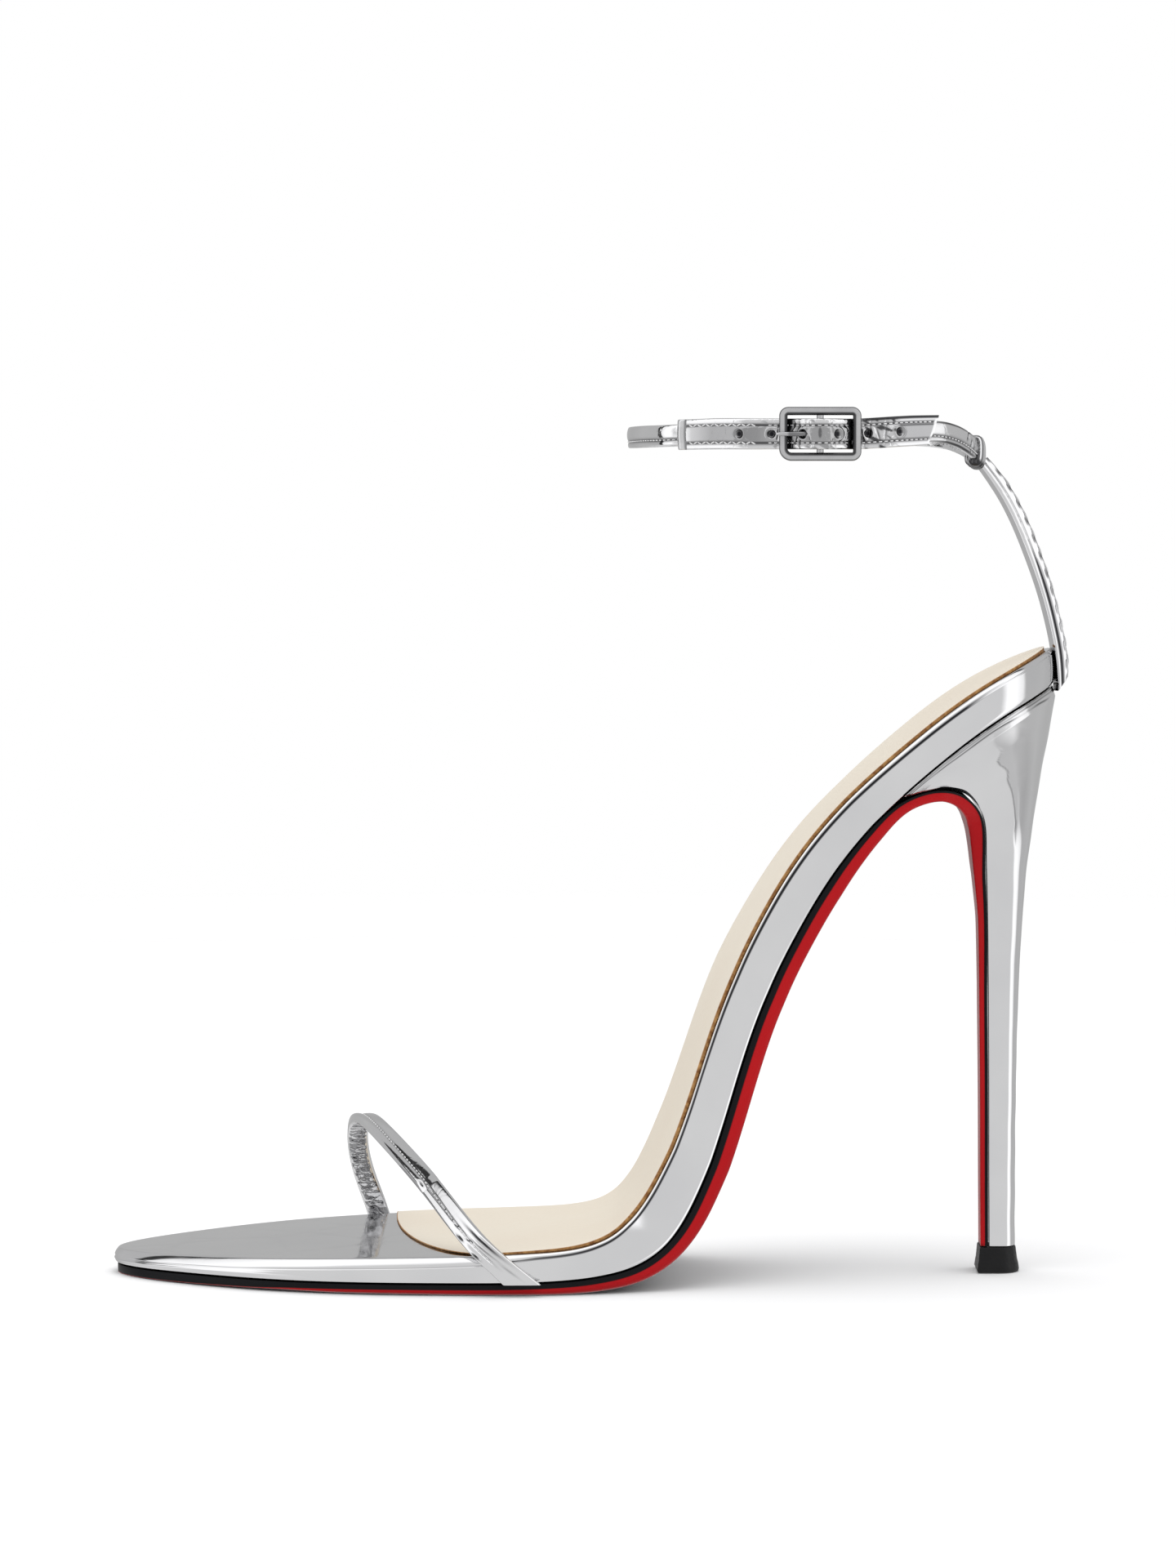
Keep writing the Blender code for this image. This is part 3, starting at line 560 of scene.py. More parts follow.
def makeTrack(points):
    # A curve in side view measured by its length: gives its place and its upward direction at a distance.
    points = np.asarray(points, float)
    chord = lengthsAlong(points)
    fine = spline(chord, points)(np.linspace(0, chord[-1], 3000))
    along = lengthsAlong(fine)
    ahead = unit(np.gradient(fine, along, axis=0))

    def place(where):
        # The point at a distance, read between the fine points.
        return np.stack([np.interp(where, along, fine[:, i]) for i in range(2)], axis=-1)

    def up(where):
        # The curve's own direction there, turned left by a right angle.
        turned = np.stack([np.interp(where, along, ahead[:, i]) for i in range(2)], axis=-1)
        return np.stack([-turned[..., 1], turned[..., 0]], axis=-1)

    return place, up, along[-1]


bedPlace, bedUp, bedLength = makeTrack(lastBottom["side"])


def turnOf(along):
    # Distance as an angle, in which the rounded toe and heel ends are straight lines.
    return np.arccos(np.clip(1 - 2 * np.asarray(along, float) / bedLength, -1, 1))


planTurns = turnOf(planTable[:, 0] * bedLength / planTable[-1, 0])
outerHalf = spline(planTurns, planTable[:, 1])
innerHalf = spline(planTurns, planTable[:, 2])
bedThick = spline(bedTable[:, 0], bedTable[:, 1])


def bedLift(along):
    # How much higher the inner edge lies: the full lift times its share in the table.
    return lastBottom["innerLift"] * np.interp(along, bedTable[:, 0], bedTable[:, 2])


def onBed(along, across, above):
    # Carries distance from the toe, width and height above the bed's underside into space.
    along, across, above = np.broadcast_arrays(*(np.asarray(v, float) for v in (along, across, above)))
    half = np.interp(along, planTable[:, 0], planTable[:, 2]) + 1
    lean = np.interp(along, bedTable[:, 0], bedTable[:, 3])[..., None]
    up = unit(bedUp(along) * (1 - lean) + np.array([0.0, 1.0]) * lean)
    place = bedPlace(along) + (above + bedLift(along) * across / half)[..., None] * up
    return np.stack([place[..., 0], across, place[..., 1]], axis=-1)


def bedStations():
    # Even steps of the angle, closer together at the ball bend.
    look = lastBottom
    fine = np.linspace(0, math.pi, 4000)
    along = bedLength / 2 * (1 - np.cos(fine))
    crowd = np.cumsum(1 + look["bendExtra"] * hump(along, look["bendAt"], look["bendSpread"]))
    return np.interp(np.linspace(crowd[0], crowd[-1], look["stations"] + 1), crowd, fine)


bedTurns = bedStations()
bedAlong = bedLength / 2 * (1 - np.cos(bedTurns))
outerSide = np.stack([bedAlong, -outerHalf(bedTurns)], axis=1)
innerSide = np.stack([bedAlong, innerHalf(bedTurns)], axis=1)
outline = np.concatenate([outerSide, innerSide[-2:0:-1]])  # toe, outer side, heel, inner side
outlineAhead = np.roll(outline, -1, axis=0) - np.roll(outline, 1, axis=0)
outlineInward = unit(np.stack([-outlineAhead[:, 1], outlineAhead[:, 0]], axis=1))


def insetOutline(inset):
    # The outline moved inwards along its own normals, by one inset or by one for each of its points.
    return outline + np.asarray(inset, float)[..., None] * outlineInward


def ringSides(ring):
    # The outer and the inner side of a ring, both from toe to heel.
    steps = len(ring) // 2
    return ring[:steps + 1], np.concatenate([ring[steps:], ring[:1]])[::-1]


def halfOfOutline(inset, along):
    # Outer and inner half widths of the inset outline.
    outer, inner = ringSides(insetOutline(inset))
    return np.interp(along, outer[:, 0], -outer[:, 1]), np.interp(along, inner[:, 0], inner[:, 1])


def acrossRing(ring, columns):
    # Fills a ring with straight rows from its outer to its inner side.
    outer, inner = ringSides(ring)
    share = np.linspace(0, 1, columns)[None, :, None]
    return outer[:, None] * (1 - share) + inner[:, None] * share


coverLook = {
    "wall": 1.2,
    # Lower lip of the side band: inset, height.
    "lip": [(1.2, 0), (0.75, 0), (0.52, 0.06), (0.33, 0.19), (0.18, 0.38), (0.07, 0.62)],
    "lipRise": 0.9,
    "bandBulge": 0.10,
    # Distance from the toe, and how far the fold line lies below the top.
    "foldDrop": [
        (0, 1.6), (25, 2.0), (65, 2.0), (74, 1.8), (86, 0.9), (98, 0.72), (120, 0.6), (145, 0.46),
        (170, 0.55), (200, 0.75), (235, 1.1), (252, 1.2),
    ],
    "foldHalf": 0.36,
    "foldDepth": 0.12,
    # Distance from the toe and half width of the painted shade line in the fold, as a share of foldHalf.
    "foldShadeWidth": [(0, 0.4), (74, 0.4), (86, 0.75), (115, 0.75), (145, 0.6), (185, 0.9), (240, 0.9)],
    # Distance from the toe and strength of the painted shade line in the fold.
    "foldShadeStrength": [(0, 0.0), (40, 0.15), (74, 0.25), (86, 0.9), (100, 1.0), (232, 1.0), (237, 0.0)],
    # The edge between fold line and top: share of its length, tilt in degrees.
    "edgeTilt": [(0, 20), (0.1, 26), (0.72, 43), (1, 90)],
    "crinkle": [(0, 0.5), (60, 0.35), (110, 0.2), (252, 0.25)],
    "columns": 33,
    "leather": (55.0, 0.05),  # crinkle scale and depth
}


def coverLevels():
    # Section from the lower lip up the side band, over the fold line and round the edge to the top.
    # Each level has an inset, its part of the fold's drop, the share of the thickness, a height,
    # its part of the drop, and how far it lies from the middle of the fold.
    look = coverLook
    low, half = look["lipRise"], look["foldHalf"]
    far = 9  # no dark line so far from the fold
    lip = np.array([(inset, 0, 0, height, 0, far) for inset, height in look["lip"]])
    band = np.linspace(0, 1, 15)
    none = 0 * band
    bulge = -look["bandBulge"] * np.sin(math.pi * band)
    side = np.stack([bulge, none, band, low - (low + half) * band, -band, none + far], axis=1)
    fold = np.linspace(-1, 1, 15)[1:]
    inset = look["foldDepth"] * hump(fold, 0, 0.4) + 0.02 * (fold + 1)
    ones = 0 * fold + 1
    groove = np.stack([inset, 0 * fold, ones, half * fold, -ones, fold], axis=1)
    share = (np.arange(28) + 0.5) / 28
    tilt = np.radians(fromTable(share, look["edgeTilt"]))
    up, inwards = np.cumsum(np.cos(tilt)), np.cumsum(np.sin(tilt))
    short, inwards = 1 - up / up[-1], inwards / up[-1]
    none = 0 * up
    edge = np.stack([0.04 - inwards * half, inwards, none + 1, half * short, -short, none + far], axis=1)
    return np.concatenate([lip, side, groove, edge])


def makeCover():
    # The section's levels go round the outline, moved inwards by the inset and up by the height.
    # A top and an inner wall close the shell.
    look = coverLook
    inset, insetDrop, share, offset, offsetDrop, fromFold = (column[:, None] for column in coverLevels().T)
    drop = fromTable(outline[:, 0], look["foldDrop"])
    rings = insetOutline(inset + insetDrop * drop)
    height = share * bedThick(rings[..., 0]) + offset + offsetDrop * drop
    skin = onBed(rings[..., 0], rings[..., 1], height)
    # painted shade and painted dark reflection: a dark line down the fold groove
    dark = hump(fromFold, 0, fromTable(rings[..., 0], look["foldShadeWidth"]), 4)
    strength = fromTable(rings[..., 0], look["foldShadeStrength"])
    top = acrossRing(rings[-1], look["columns"])
    topSkin = onBed(top[..., 0], top[..., 1], bedThick(top[..., 0]))
    wall = look["wall"]
    inside = np.array([(wall, 0, 0), (wall, 1, -wall - 0.8), (wall + 0.8, 1, -wall)])
    inRings = insetOutline(inside[:, :1])
    inHeight = inside[:, 1:2] * bedThick(inRings[..., 0]) + inside[:, 2:]
    inSkin = onBed(inRings[..., 0], inRings[..., 1], inHeight)
    under = acrossRing(inRings[-1], 3)
    underSkin = onBed(under[..., 0], under[..., 1], bedThick(under[..., 0]) - wall)
    count = rings.shape[1]
    crinkle = [fromTable(ring[..., 0], look["crinkle"]) for ring in (rings, top)]
    skinValues = {"fold": dark * strength, "crinkle": crinkle[0]}
    grids = [
        (skin, gridFaces(len(skin), count, closeColumns=True), skinValues),
        (topSkin, gridFaces(*topSkin.shape[:2]), {"crinkle": crinkle[1]}),
        (inSkin, gridFaces(len(inside), count, closeColumns=True), {}),
        (underSkin, gridFaces(*underSkin.shape[:2]), {}),
    ]
    material = silverLeather("coverLeather", *look["leather"])
    return makePiece("insoleCover", grids, material, ["insole_cover"])


makeCover()

sockLook = {
    "inset": 1.7,
    "gap": 0.05,  # above the cover
    # Distance from the toe and thickness: its front is pared down.
    "thick": [(56, 0.32), (77, 0.4), (95, 0.66), (110, 0.75), (252, 0.72)],
    "frontInner": 56.0,  # distance from the toe to the front edge, inner side
    "frontOuter": 77.0,
    "level": 82.0,  # from here back, rows lie straight across
    "columns": 49,
    "edgeInset": (0.14, 0.05, 0.0, 0.0, 0.06),  # round the side edge, from the top down
    "edgeHeight": (1.0, 0.94, 0.78, 0.10, 0.0),  # shares of the thickness there
    "underInset": 0.2,
    "bare": (0.3, 1.0, 1.0, 1.0),  # how bare the leather is down the side edge
    "frontPush": (0.0, 0.04, 0.12, 0.22),  # first rows behind the front edge
    "frontSwell": (0.15, 0.7, 0.95, 1.0),  # their shares of the thickness
    "backSwell": 0.3,
    "cream": (0.70, 0.645, 0.55),
    "creamOther": (0.675, 0.605, 0.505),
    "rawEdge": (0.44, 0.24, 0.085),
    "rawEdgeOther": (0.17, 0.06, 0.016),
    "creamScale": 22.0,
    "rawEdgeScale": 950.0,
    "grainScale": 1500.0,
    "grainDepth": 0.003,
    "rough": (0.08, 0.46),  # share of the pores, least roughness
}


def creamLeather():
    # Cream lining with a soft grain; its cut edge is bare tan leather.
    look = sockLook
    material, tree, inputs = newMaterial("creamLining", Specular_IOR_Level=0.15)
    cream = clouds(tree, look, "cream")
    cut = clouds(tree, look, "rawEdge")
    grain = useGroup(tree, fineGrain, Scale=look["grainScale"])
    colour = mixColour(tree, meshValue(tree, "edge"), cream["Colour"], cut["Colour"])
    tree.links.new(colour, inputs["Base Color"])
    tree.links.new(maths(tree, "MULTIPLY_ADD", grain["Pores"], *look["rough"]), inputs["Roughness"])
    addBump(tree, inputs, grain["Height"], look["grainDepth"])
    return material


def makeSock():
    # A thin plate: each closed section row runs over the top, round one edge, back underneath
    # and up the other. Its front edge sweeps back in a quarter ellipse towards the outer side.
    look = sockLook
    top = np.linspace(-1, 1, look["columns"])
    under = top[::-6]
    edgeInset, edgeHeight, bare = (np.array(look[name]) for name in ("edgeInset", "edgeHeight", "bare"))
    share = np.concatenate([top, np.ones(4), under, -np.ones(4)])
    inset = [0 * top + edgeInset[0], edgeInset[1:], 0 * under + look["underInset"], edgeInset[:0:-1]]
    inset = np.concatenate(inset)
    height = np.concatenate([0 * top + 1, edgeHeight[1:], 0 * under, edgeHeight[:0:-1]])
    rim = np.concatenate([0 * top, bare, 0 * under, bare[::-1]])
    sweep = np.sqrt(1 - ((1 - share) / 2.02) ** 2)
    front = look["frontOuter"] - (look["frontOuter"] - look["frontInner"]) * sweep
    back = bedLength - look["inset"] - 0.03
    push = np.array(look["frontPush"])
    frontRows = front + push[:, None]
    fan = front + push[-1] + (look["level"] - front - push[-1]) * np.linspace(0, 1, 16)[1:, None]
    straight = bedAlong[(bedAlong > look["level"] + 0.4) & (bedAlong < back)]
    along = np.concatenate([frontRows, fan, straight[:, None] + 0 * share, back + 0 * share[None]])
    swell = np.ones(len(along))
    swell[:4] = look["frontSwell"]
    swell[-1] = look["backSwell"]
    outer, inner = halfOfOutline(look["inset"], along)
    half = np.where(share < 0, outer, inner)
    across = share * np.maximum(half - inset, 0.25 * half)
    level = 0.5 + (height - 0.5) * swell[:, None]
    above = bedThick(along) + look["gap"] + fromTable(along, look["thick"]) * level
    skin = onBed(along, across, above)
    cut = np.maximum(rim + 0 * along, (swell < 0.96)[:, None])
    grids = closedGrids(skin, {"edge": cut}, {"edge": 1.0})
    return makePiece("sockLining", grids, creamLeather(), ["sock_lining"])


soleLook = {
    "inset": 0.6,  # the edge lies this far inside the cover's side
    "leaves": 205.0,  # distance from the toe where the sole leaves the foot bed
    # Top of the sole from there: round the arch and down the front of the heel, x and z.
    "breast": [
        (60.9, 95.2), (65.8, 97.5), (70.3, 98.1), (74.1, 97.2), (76.6, 95.4), (78.4, 92.8), (79.2, 89.6),
        (79.5, 82.3), (79.9, 74.0), (80.1, 60.0), (80.3, 40.0), (80.4, 20.0), (80.5, 5.5),
    ],
    # Distance from the toe, share of the bed's width, thickness of the edge and of the belly below it.
    "section": [
        (0, 1, 1.6, 0.1), (15, 1, 1.6, 0.15), (30, 1, 1.4, 0.3), (36, 1, 1.15, 0.6), (45, 1, 1.05, 0.95),
        (60, 1, 1.0, 1.15), (80, 1, 1.0, 1.4), (95, 1, 1.05, 1.8), (112, 1, 1.15, 2.4), (130, 1, 1.15, 2.7),
        (190, 1, 1.1, 2.5), (205, 1, 0.8, 2.2), (213, 0.95, 0.5, 1.9), (221, 0.83, 0.4, 1.9),
        (227, 0.64, 0.4, 2.45), (232, 0.46, 0.4, 2.85), (237, 0.34, 0.5, 2.4), (244, 0.265, 0.6, 1.6),
        (252, 0.225, 0.6, 1.2), (266, 0.2, 0.6, 1.0), (320, 0.185, 0.6, 0.9),
    ],
    # First rows behind the toe edge.
    "toeRows": (0.02, 0.08, 0.2, 0.4, 0.7, 1.1, 1.7, 2.5, 3.5, 5.0, 7.0, 9.5, 12.5, 16.0, 20.0),
    "edgeDrop": (0.0, 0.06, 0.5, 0.86, 0.97),  # down the inked edge, as shares of its thickness
    "edgeInset": (0.06, 0.0, 0.02, 0.06, 0.16),
    "bellyInset": 0.25,
    "bellyPower": 40,
    "inkFade": 0.6,  # ink on the first row of the belly
    "red": (0.41, 0.008, 0.011),
    "redOther": (0.36, 0.006, 0.009),
    "ink": (0.006, 0.006, 0.007),
    "redScale": 30.0,
    "grainScale": 900.0,
    "grainDepth": 0.012,
    "rough": (0.22, 0.12, 0.08),  # lacquer, more on the ink, more in the clouds
}


def soleLacquer():
    # Glossy red lacquer on the belly, black edge ink on the side.
    look = soleLook
    material, tree, inputs = newMaterial("soleLacquer", Specular_IOR_Level=0.07)
    red = clouds(tree, look, "red")
    grain = useGroup(tree, fineGrain, Scale=look["grainScale"])
    edge = meshValue(tree, "edge")
    colour = mixColour(tree, edge, red["Colour"], look["ink"])
    # Light that bounces off meets ink, which keeps the floor from turning pink.
    bounced = newNode(tree, "ShaderNodeLightPath").outputs["Is Diffuse Ray"]
    tree.links.new(mixColour(tree, bounced, colour, look["ink"]), inputs["Base Color"])
    lacquer, onInk, inClouds = look["rough"]
    rough = maths(tree, "MULTIPLY_ADD", edge, onInk, lacquer)
    tree.links.new(maths(tree, "MULTIPLY_ADD", red["Cloud"], inClouds, rough), inputs["Roughness"])
    addBump(tree, inputs, grain["Height"], look["grainDepth"])
    return material


def makeSole():
    # A convex section carried along the bed's underside, then round the arch and down the heel:
    # flat on top, an upright inked edge, and a belly that swells by the root of (1 - share to a power).
    look = soleLook
    under = np.linspace(0, look["leaves"], 24)
    start = bedPlace(under) - clearance * bedUp(under)
    place, up, length = makeTrack(np.concatenate([start, look["breast"]]))
    along = np.concatenate([
        look["inset"] + np.array(look["toeRows"]), np.arange(23, 96, 2.0),
        np.arange(96, 204, 1.2), np.linspace(look["leaves"], length, 150),
    ])
    table = np.array(look["section"], float)
    width, edge, belly = (np.interp(along, table[:, 0], table[:, i])[:, None] for i in (1, 2, 3))
    halves = halfOfOutline(look["inset"], np.minimum(along, look["leaves"]))
    outer, inner = (half[:, None] for half in halves)
    even = np.linspace(-1, 1, 45)
    share = np.sign(even) * (1 - (1 - np.abs(even)) ** 3)  # closer together at the sides
    drop, pull = np.array(look["edgeDrop"]), np.array(look["edgeInset"])
    sign = np.concatenate([-np.ones(5), share, np.ones(5)])
    inset = np.concatenate([pull, 0 * share + look["bellyInset"], pull[::-1]])
    depth = np.concatenate([drop, 0 * share + 1, drop[::-1]])
    swell = np.concatenate([0 * drop, np.sqrt(1 - np.abs(share) ** look["bellyPower"]), 0 * drop])
    half = np.where(sign < 0, outer, inner) * width
    size = np.abs(sign)
    across = np.sign(sign) * np.maximum(half * size - inset * size, 0.3 * half * size)
    lift = bedLift(along)[:, None] * across / (inner + 1)
    below = lift - depth * edge - swell * belly
    spot = place(along)[:, None] + below[..., None] * up(along)[:, None]
    height = np.where(along[:, None] < look["leaves"], np.maximum(spot[..., 1], 0), spot[..., 1])
    skin = np.stack([spot[..., 0], across, height], axis=-1)
    inked = np.concatenate([np.ones(5), 0 * share, np.ones(5)])
    inked[[5, -6]] = look["inkFade"]
    grids = closedGrids(skin, {"edge": inked + 0 * along[:, None]}, {"edge": 1.0})
    return makePiece("outsole", grids, soleLacquer(), ["outsole"])


makeSock()
makeSole()

heelLook = {
    "seatFront": 213.0,
    "seatInset": 0.4,
    # Front x and z, back x and z, half width at the front and at most, bow of the chord,
    # share of stem shape, roundness of the back.
    "sections": [
        (66.3, 98.0, 93.8, 116.2, 21.4, 23.2, 1.2, 0.05, 1.5),
        (70.6, 98.5, 93.2, 112.4, 18.8, 20.6, 0.6, 0.2, 1.5),
        (74.4, 97.5, 92.5, 108.3, 15.4, 17.4, 0.2, 0.4, 1.5),
        (77.0, 95.6, 91.7, 104.2, 12.4, 14.2, 0, 0.6, 1.55),
        (78.8, 92.9, 91.0, 100.0, 9.6, 11.5, 0, 0.8, 1.6),
        (79.6, 89.6, 90.2, 95.4, 7.8, 9.4, 0, 0.9, 1.7), (79.8, 85.5, 89.4, 90.0, 6.5, 7.7, 0, 1, 1.8),
        (80.0, 79.5, 88.3, 82.0, 5.6, 6.4, 0, 1, 2.0), (80.2, 72.0, 87.5, 73.0, 5.0, 5.4, 0, 1, 2.2),
        (80.4, 60.0, 86.8, 60.4, 4.6, 4.8, 0, 1, 2.2), (80.6, 40.0, 86.3, 40.0, 4.2, 4.35, 0, 1, 2.2),
        (80.7, 20.0, 86.1, 20.0, 4.1, 4.2, 0, 1, 2.2), (80.8, 5.5, 86.1, 5.5, 4.2, 4.3, 0, 1, 2.2),
    ],
    "sides": 97,  # stations from the breast to the back
    "rings": 190,
    # Creases along the seat seam: distance below it, depth, half width, waviness, patchiness. Each crease
    # is also darkened with painted shade.
    "creases": [(0.12, 0.12, 0.20, 0.0, 0.2), (0.66, 0.12, 0.15, 0.10, 0.4), (1.35, 0.12, 0.17, 0.25, 0.9)],
    # Pinch line where the side turns to the back: height and share of the section, then its size.
    "pinch": [(84, 0.62), (91, 0.58), (95, 0.49), (100, 0.45), (104, 0.46), (109, 0.54)],
    "pinchHalf": 0.26,
    "pinchDepth": 0.14,
    "pinchStrength": [(86, 0.0), (90, 1.0), (104, 0.8), (108, 0.0)],
    "backReflectionTone": 0.22,  # painted reflection tone: the leather behind the pinch line is darkened
    "backReflectionHeights": [(84, 0.0), (90, 1.0), (107, 1.0), (111, 0.0)],
    "unevenness": 0.05,
    "leather": (70.0, 0.06),  # crinkle scale and depth
}


def gridNormals(points, centre):
    # Unit normals of a grid, turned away from the given centre points.
    normals = unit(np.cross(np.gradient(points, axis=0), np.gradient(points, axis=1)))
    return normals * np.sign((normals * (points - centre)).sum(axis=-1).mean())


def heelRings(rows, shares, seatOuter, seatInner):
    # D sections between a front and a back point: straight sides that widen over the first two fifths,
    # then a rounded back, which changes from the seat's outline to a round stem.
    columns = (column[:, None] for column in rows.T)
    frontX, frontZ, backX, backZ, halfFront, halfMost, bow, stem, power = columns
    chordX, chordZ = backX - frontX, backZ - frontZ
    reach = np.hypot(chordX, chordZ)
    roundPart = fade(shares, 0.5, 0.5)
    stemShape = (1 - roundPart**power) ** (1 / power)
    half = halfFront + (halfMost - halfFront) * fade(shares, 0, 0.4)
    outer = half * ((1 - stem) * seatOuter + stem * stemShape)
    inner = half * ((1 - stem) * seatInner + stem * stemShape)
    swell = 4 * bow * shares * (1 - shares)
    x = frontX + shares * chordX - swell * chordZ / reach
    z = frontZ + shares * chordZ + swell * chordX / reach
    outerSide = np.stack([x, -outer, z], axis=-1)
    innerSide = np.stack([x, inner, z], axis=-1)
    return np.concatenate([outerSide, innerSide[:, -2::-1]], axis=1)


def makeHeel():
    # From the outline of the seat, blended into D sections down to the tip. Creases, a pinch line
    # and slight unevenness move the skin along its normals.
    look = heelLook
    shares = 1 - (1 - np.linspace(0, 1, look["sides"])) ** 1.8  # closer together at the back
    along = look["seatFront"] + (bedLength - look["seatInset"] - look["seatFront"]) * shares
    outer, inner = halfOfOutline(look["seatInset"], along)
    outer[-1] = inner[-1] = 0
    seat = np.concatenate([onBed(along, -outer, -clearance), onBed(along, inner, -clearance)[-2::-1]])
    table = np.array(look["sections"], float)
    middle = 0.5 * (table[:, 0:2] + table[:, 2:4])
    chord = lengthsAlong(middle)
    where = chord[-1] * np.linspace(0, 1, look["rings"]) ** 1.6  # closer together at the seat
    rows = spline(chord, table)(where)
    rows[:, 6:] = np.stack([np.interp(where, chord, table[:, i]) for i in (6, 7, 8)], axis=1)
    body = heelRings(rows, shares, outer / outer.max(), inner / inner.max())
    blend = np.linspace(0, 1, 14)[:-1, None, None]  # rows from the seat to the first section
    skin = np.concatenate([seat * (1 - blend) + body[0] * blend, body])
    down = np.concatenate([
        np.zeros((1, skin.shape[1])), np.cumsum(np.linalg.norm(np.diff(skin, axis=0), axis=2), axis=0),
    ])
    centre = skin.mean(axis=1, keepdims=True)
    away = gridNormals(skin, centre)
    relief = look["unevenness"] * ripple(skin, 9.0, 1.0) * fade(down, 0, 4)
    fold = 0 * down
    for place, depth, half, wave, patches in look["creases"]:
        line = place + wave * ripple(skin * np.array([1, 1, 0]), 11.0, place)
        cut = hump(down, line, half)
        patchy = np.clip(0.85 + patches * ripple(skin, 14.0, 3 + place), 0, 1)
        relief = relief - depth * cut * patchy
        # painted shade in the crease
        fold = np.maximum(fold, cut * patchy)
    bothShares = np.concatenate([shares, shares[-2::-1]])
    sides = look["sides"]
    reach = np.linalg.norm(skin[:, sides - 1] - skin[:, 0], axis=1)[:, None]
    line = fromTable(skin[..., 2], look["pinch"]) + 0.02 * ripple(skin, 5.0, 6.0)
    behind = (bothShares - line) * reach
    strength = fromTable(skin[..., 2], look["pinchStrength"])
    pinch = hump(behind, 0, look["pinchHalf"]) * strength
    relief = relief - look["pinchDepth"] * pinch
    # painted reflection tone: darker behind the pinch line
    reflectionTone = look["backReflectionTone"] * fade(behind, 0, 0.4) * fade(bothShares, 0.82, -0.2)
    reflectionTone = reflectionTone * fromTable(skin[..., 2], look["backReflectionHeights"])
    # painted shade along the pinch line, joined with the creases' painted shade and the painted reflection
    # tone
    fold = np.max(np.stack([fold, 0.65 * pinch, reflectionTone]), axis=0)
    skin = skin + relief[..., None] * away
    crinkle = 0.25 + 0.8 * hump(down, 0, 6)
    grids = [(skin, gridFaces(*skin.shape[:2], closeColumns=True), {"fold": fold, "crinkle": crinkle})]
    near, far = skin[:, :sides], skin[:, ::-1][:, :sides]
    for end in (0, -1):
        cap = np.stack([near[end], 0.5 * (near[end] + far[end]), far[end]], axis=1)
        grids.append((cap, gridFaces(*cap.shape[:2]), {}))
    material = silverLeather("heelLeather", *look["leather"])
    return makePiece("heelBlock", grids, material, ["heel"], sharp=60)


tipLook = {
    # Height, front x, back x, half width.
    "levels": [
        (0.0, 78.75, 86.65, 4.75), (0.18, 78.45, 86.92, 5.02), (0.6, 78.3, 87.0, 5.1),
        (1.6, 78.42, 86.85, 4.97), (2.6, 78.6, 86.6, 4.8), (4.0, 78.72, 86.42, 4.69),
        (4.95, 78.8, 86.3, 4.6), (5.2, 78.95, 86.15, 4.45),
    ],
    "rubber": [(0.005, 0.005, 0.0055), (0.009, 0.009, 0.0095)],
    "finish": (160.0, 2200.0, 0.03, (0.2, 0.38)),  # as grainedFinish takes it
}


def makeTip():
    # A D section with a flat front and a round back (sine to the power 0.9), flared towards the floor.
    turn = np.linspace(0, math.pi, 41)
    z, frontX, backX, half = (column[:, None] for column in np.array(tipLook["levels"]).T)
    middle = 0.5 * (frontX + backX)
    side = np.linspace(0, 1, 6)[:-1]
    x = np.concatenate([frontX + (middle - frontX) * side, middle + (backX - middle) * np.sin(turn) ** 0.9,
                        middle + (frontX - middle) * side[1:]], axis=1)
    x[:, -1:] = frontX
    y = np.concatenate([-half + 0 * side, -half * np.cos(turn), half + 0 * side[1:]], axis=1)
    skin = np.stack([x, y, z + 0 * x], axis=-1)
    rubber = grainedFinish("blackRubber", tipLook["rubber"], *tipLook["finish"], Specular_IOR_Level=0.15)
    return makePiece("heelTip", closedGrids(skin, {}, {}), rubber, ["heel_tip"], sharp=35)


makeHeel()
makeTip()


def strapFrame(table, outward, steps):
    # A smooth line through rows of x, y, z, width and thickness, with the strap's own directions
    # at each step: ahead, out of its face and across.
    table = np.array(table, float)
    chord = lengthsAlong(table[:, :3])
    where = np.linspace(0, chord[-1], steps)
    centre = spline(chord, table[:, :3])(where)
    ahead = unit(np.gradient(centre, axis=0))
    rough = outward(centre, ahead)
    face = unit(rough - (rough * ahead).sum(axis=1, keepdims=True) * ahead)
    sizes = [np.interp(where, chord, table[:, i])[:, None] for i in (3, 4)]
    return {
        "centre": centre, "ahead": ahead, "face": face, "across": np.cross(ahead, face),
        "wide": sizes[0], "thick": sizes[1], "along": lengthsAlong(centre),
    }


def facing(way):
    # For a strap whose face points one way all along: repeats that way for each point.
    return lambda centre, ahead: np.tile(way, (len(centre), 1))


def pillSection(points, square, flatness):
    # A flat rounded section as shares of the half width and half thickness, its points evenly spaced.
    turn = np.linspace(0, 2 * math.pi, 4001)
    wide = np.sign(np.cos(turn)) * np.abs(np.cos(turn)) ** square
    thick = np.sign(np.sin(turn)) * np.abs(np.sin(turn)) ** square
    length = lengthsAlong(np.stack([wide, flatness * thick], axis=1))
    where = (np.arange(points) + 0.5) * length[-1] / points
    return np.interp(where, length, wide), np.interp(where, length, thick)


def carried(strap, wide, thick):
    # Puts section points, in millimetres across and out of the strap's face, along its line.
    wide, thick = np.broadcast_arrays(wide, thick)
    return (strap["centre"][:, None] + wide[..., None] * strap["across"][:, None]
            + thick[..., None] * strap["face"][:, None])


def wrinkleCuts(along, share, wrinkles):
    # Short dents on a strap: place along, place across, slant, length, half width and depth of each.
    total = 0 * (along + share)
    for place, shareAt, slant, length, half, depth in wrinkles:
        forward, sideways = along - place, 2.1 * (share - shareAt)
        cut = (forward * math.cos(slant) + sideways * math.sin(slant)) / half
        run = (sideways * math.cos(slant) - forward * math.sin(slant)) / length
        total = total + depth * np.exp(-cut**2 - run**2)
    return total


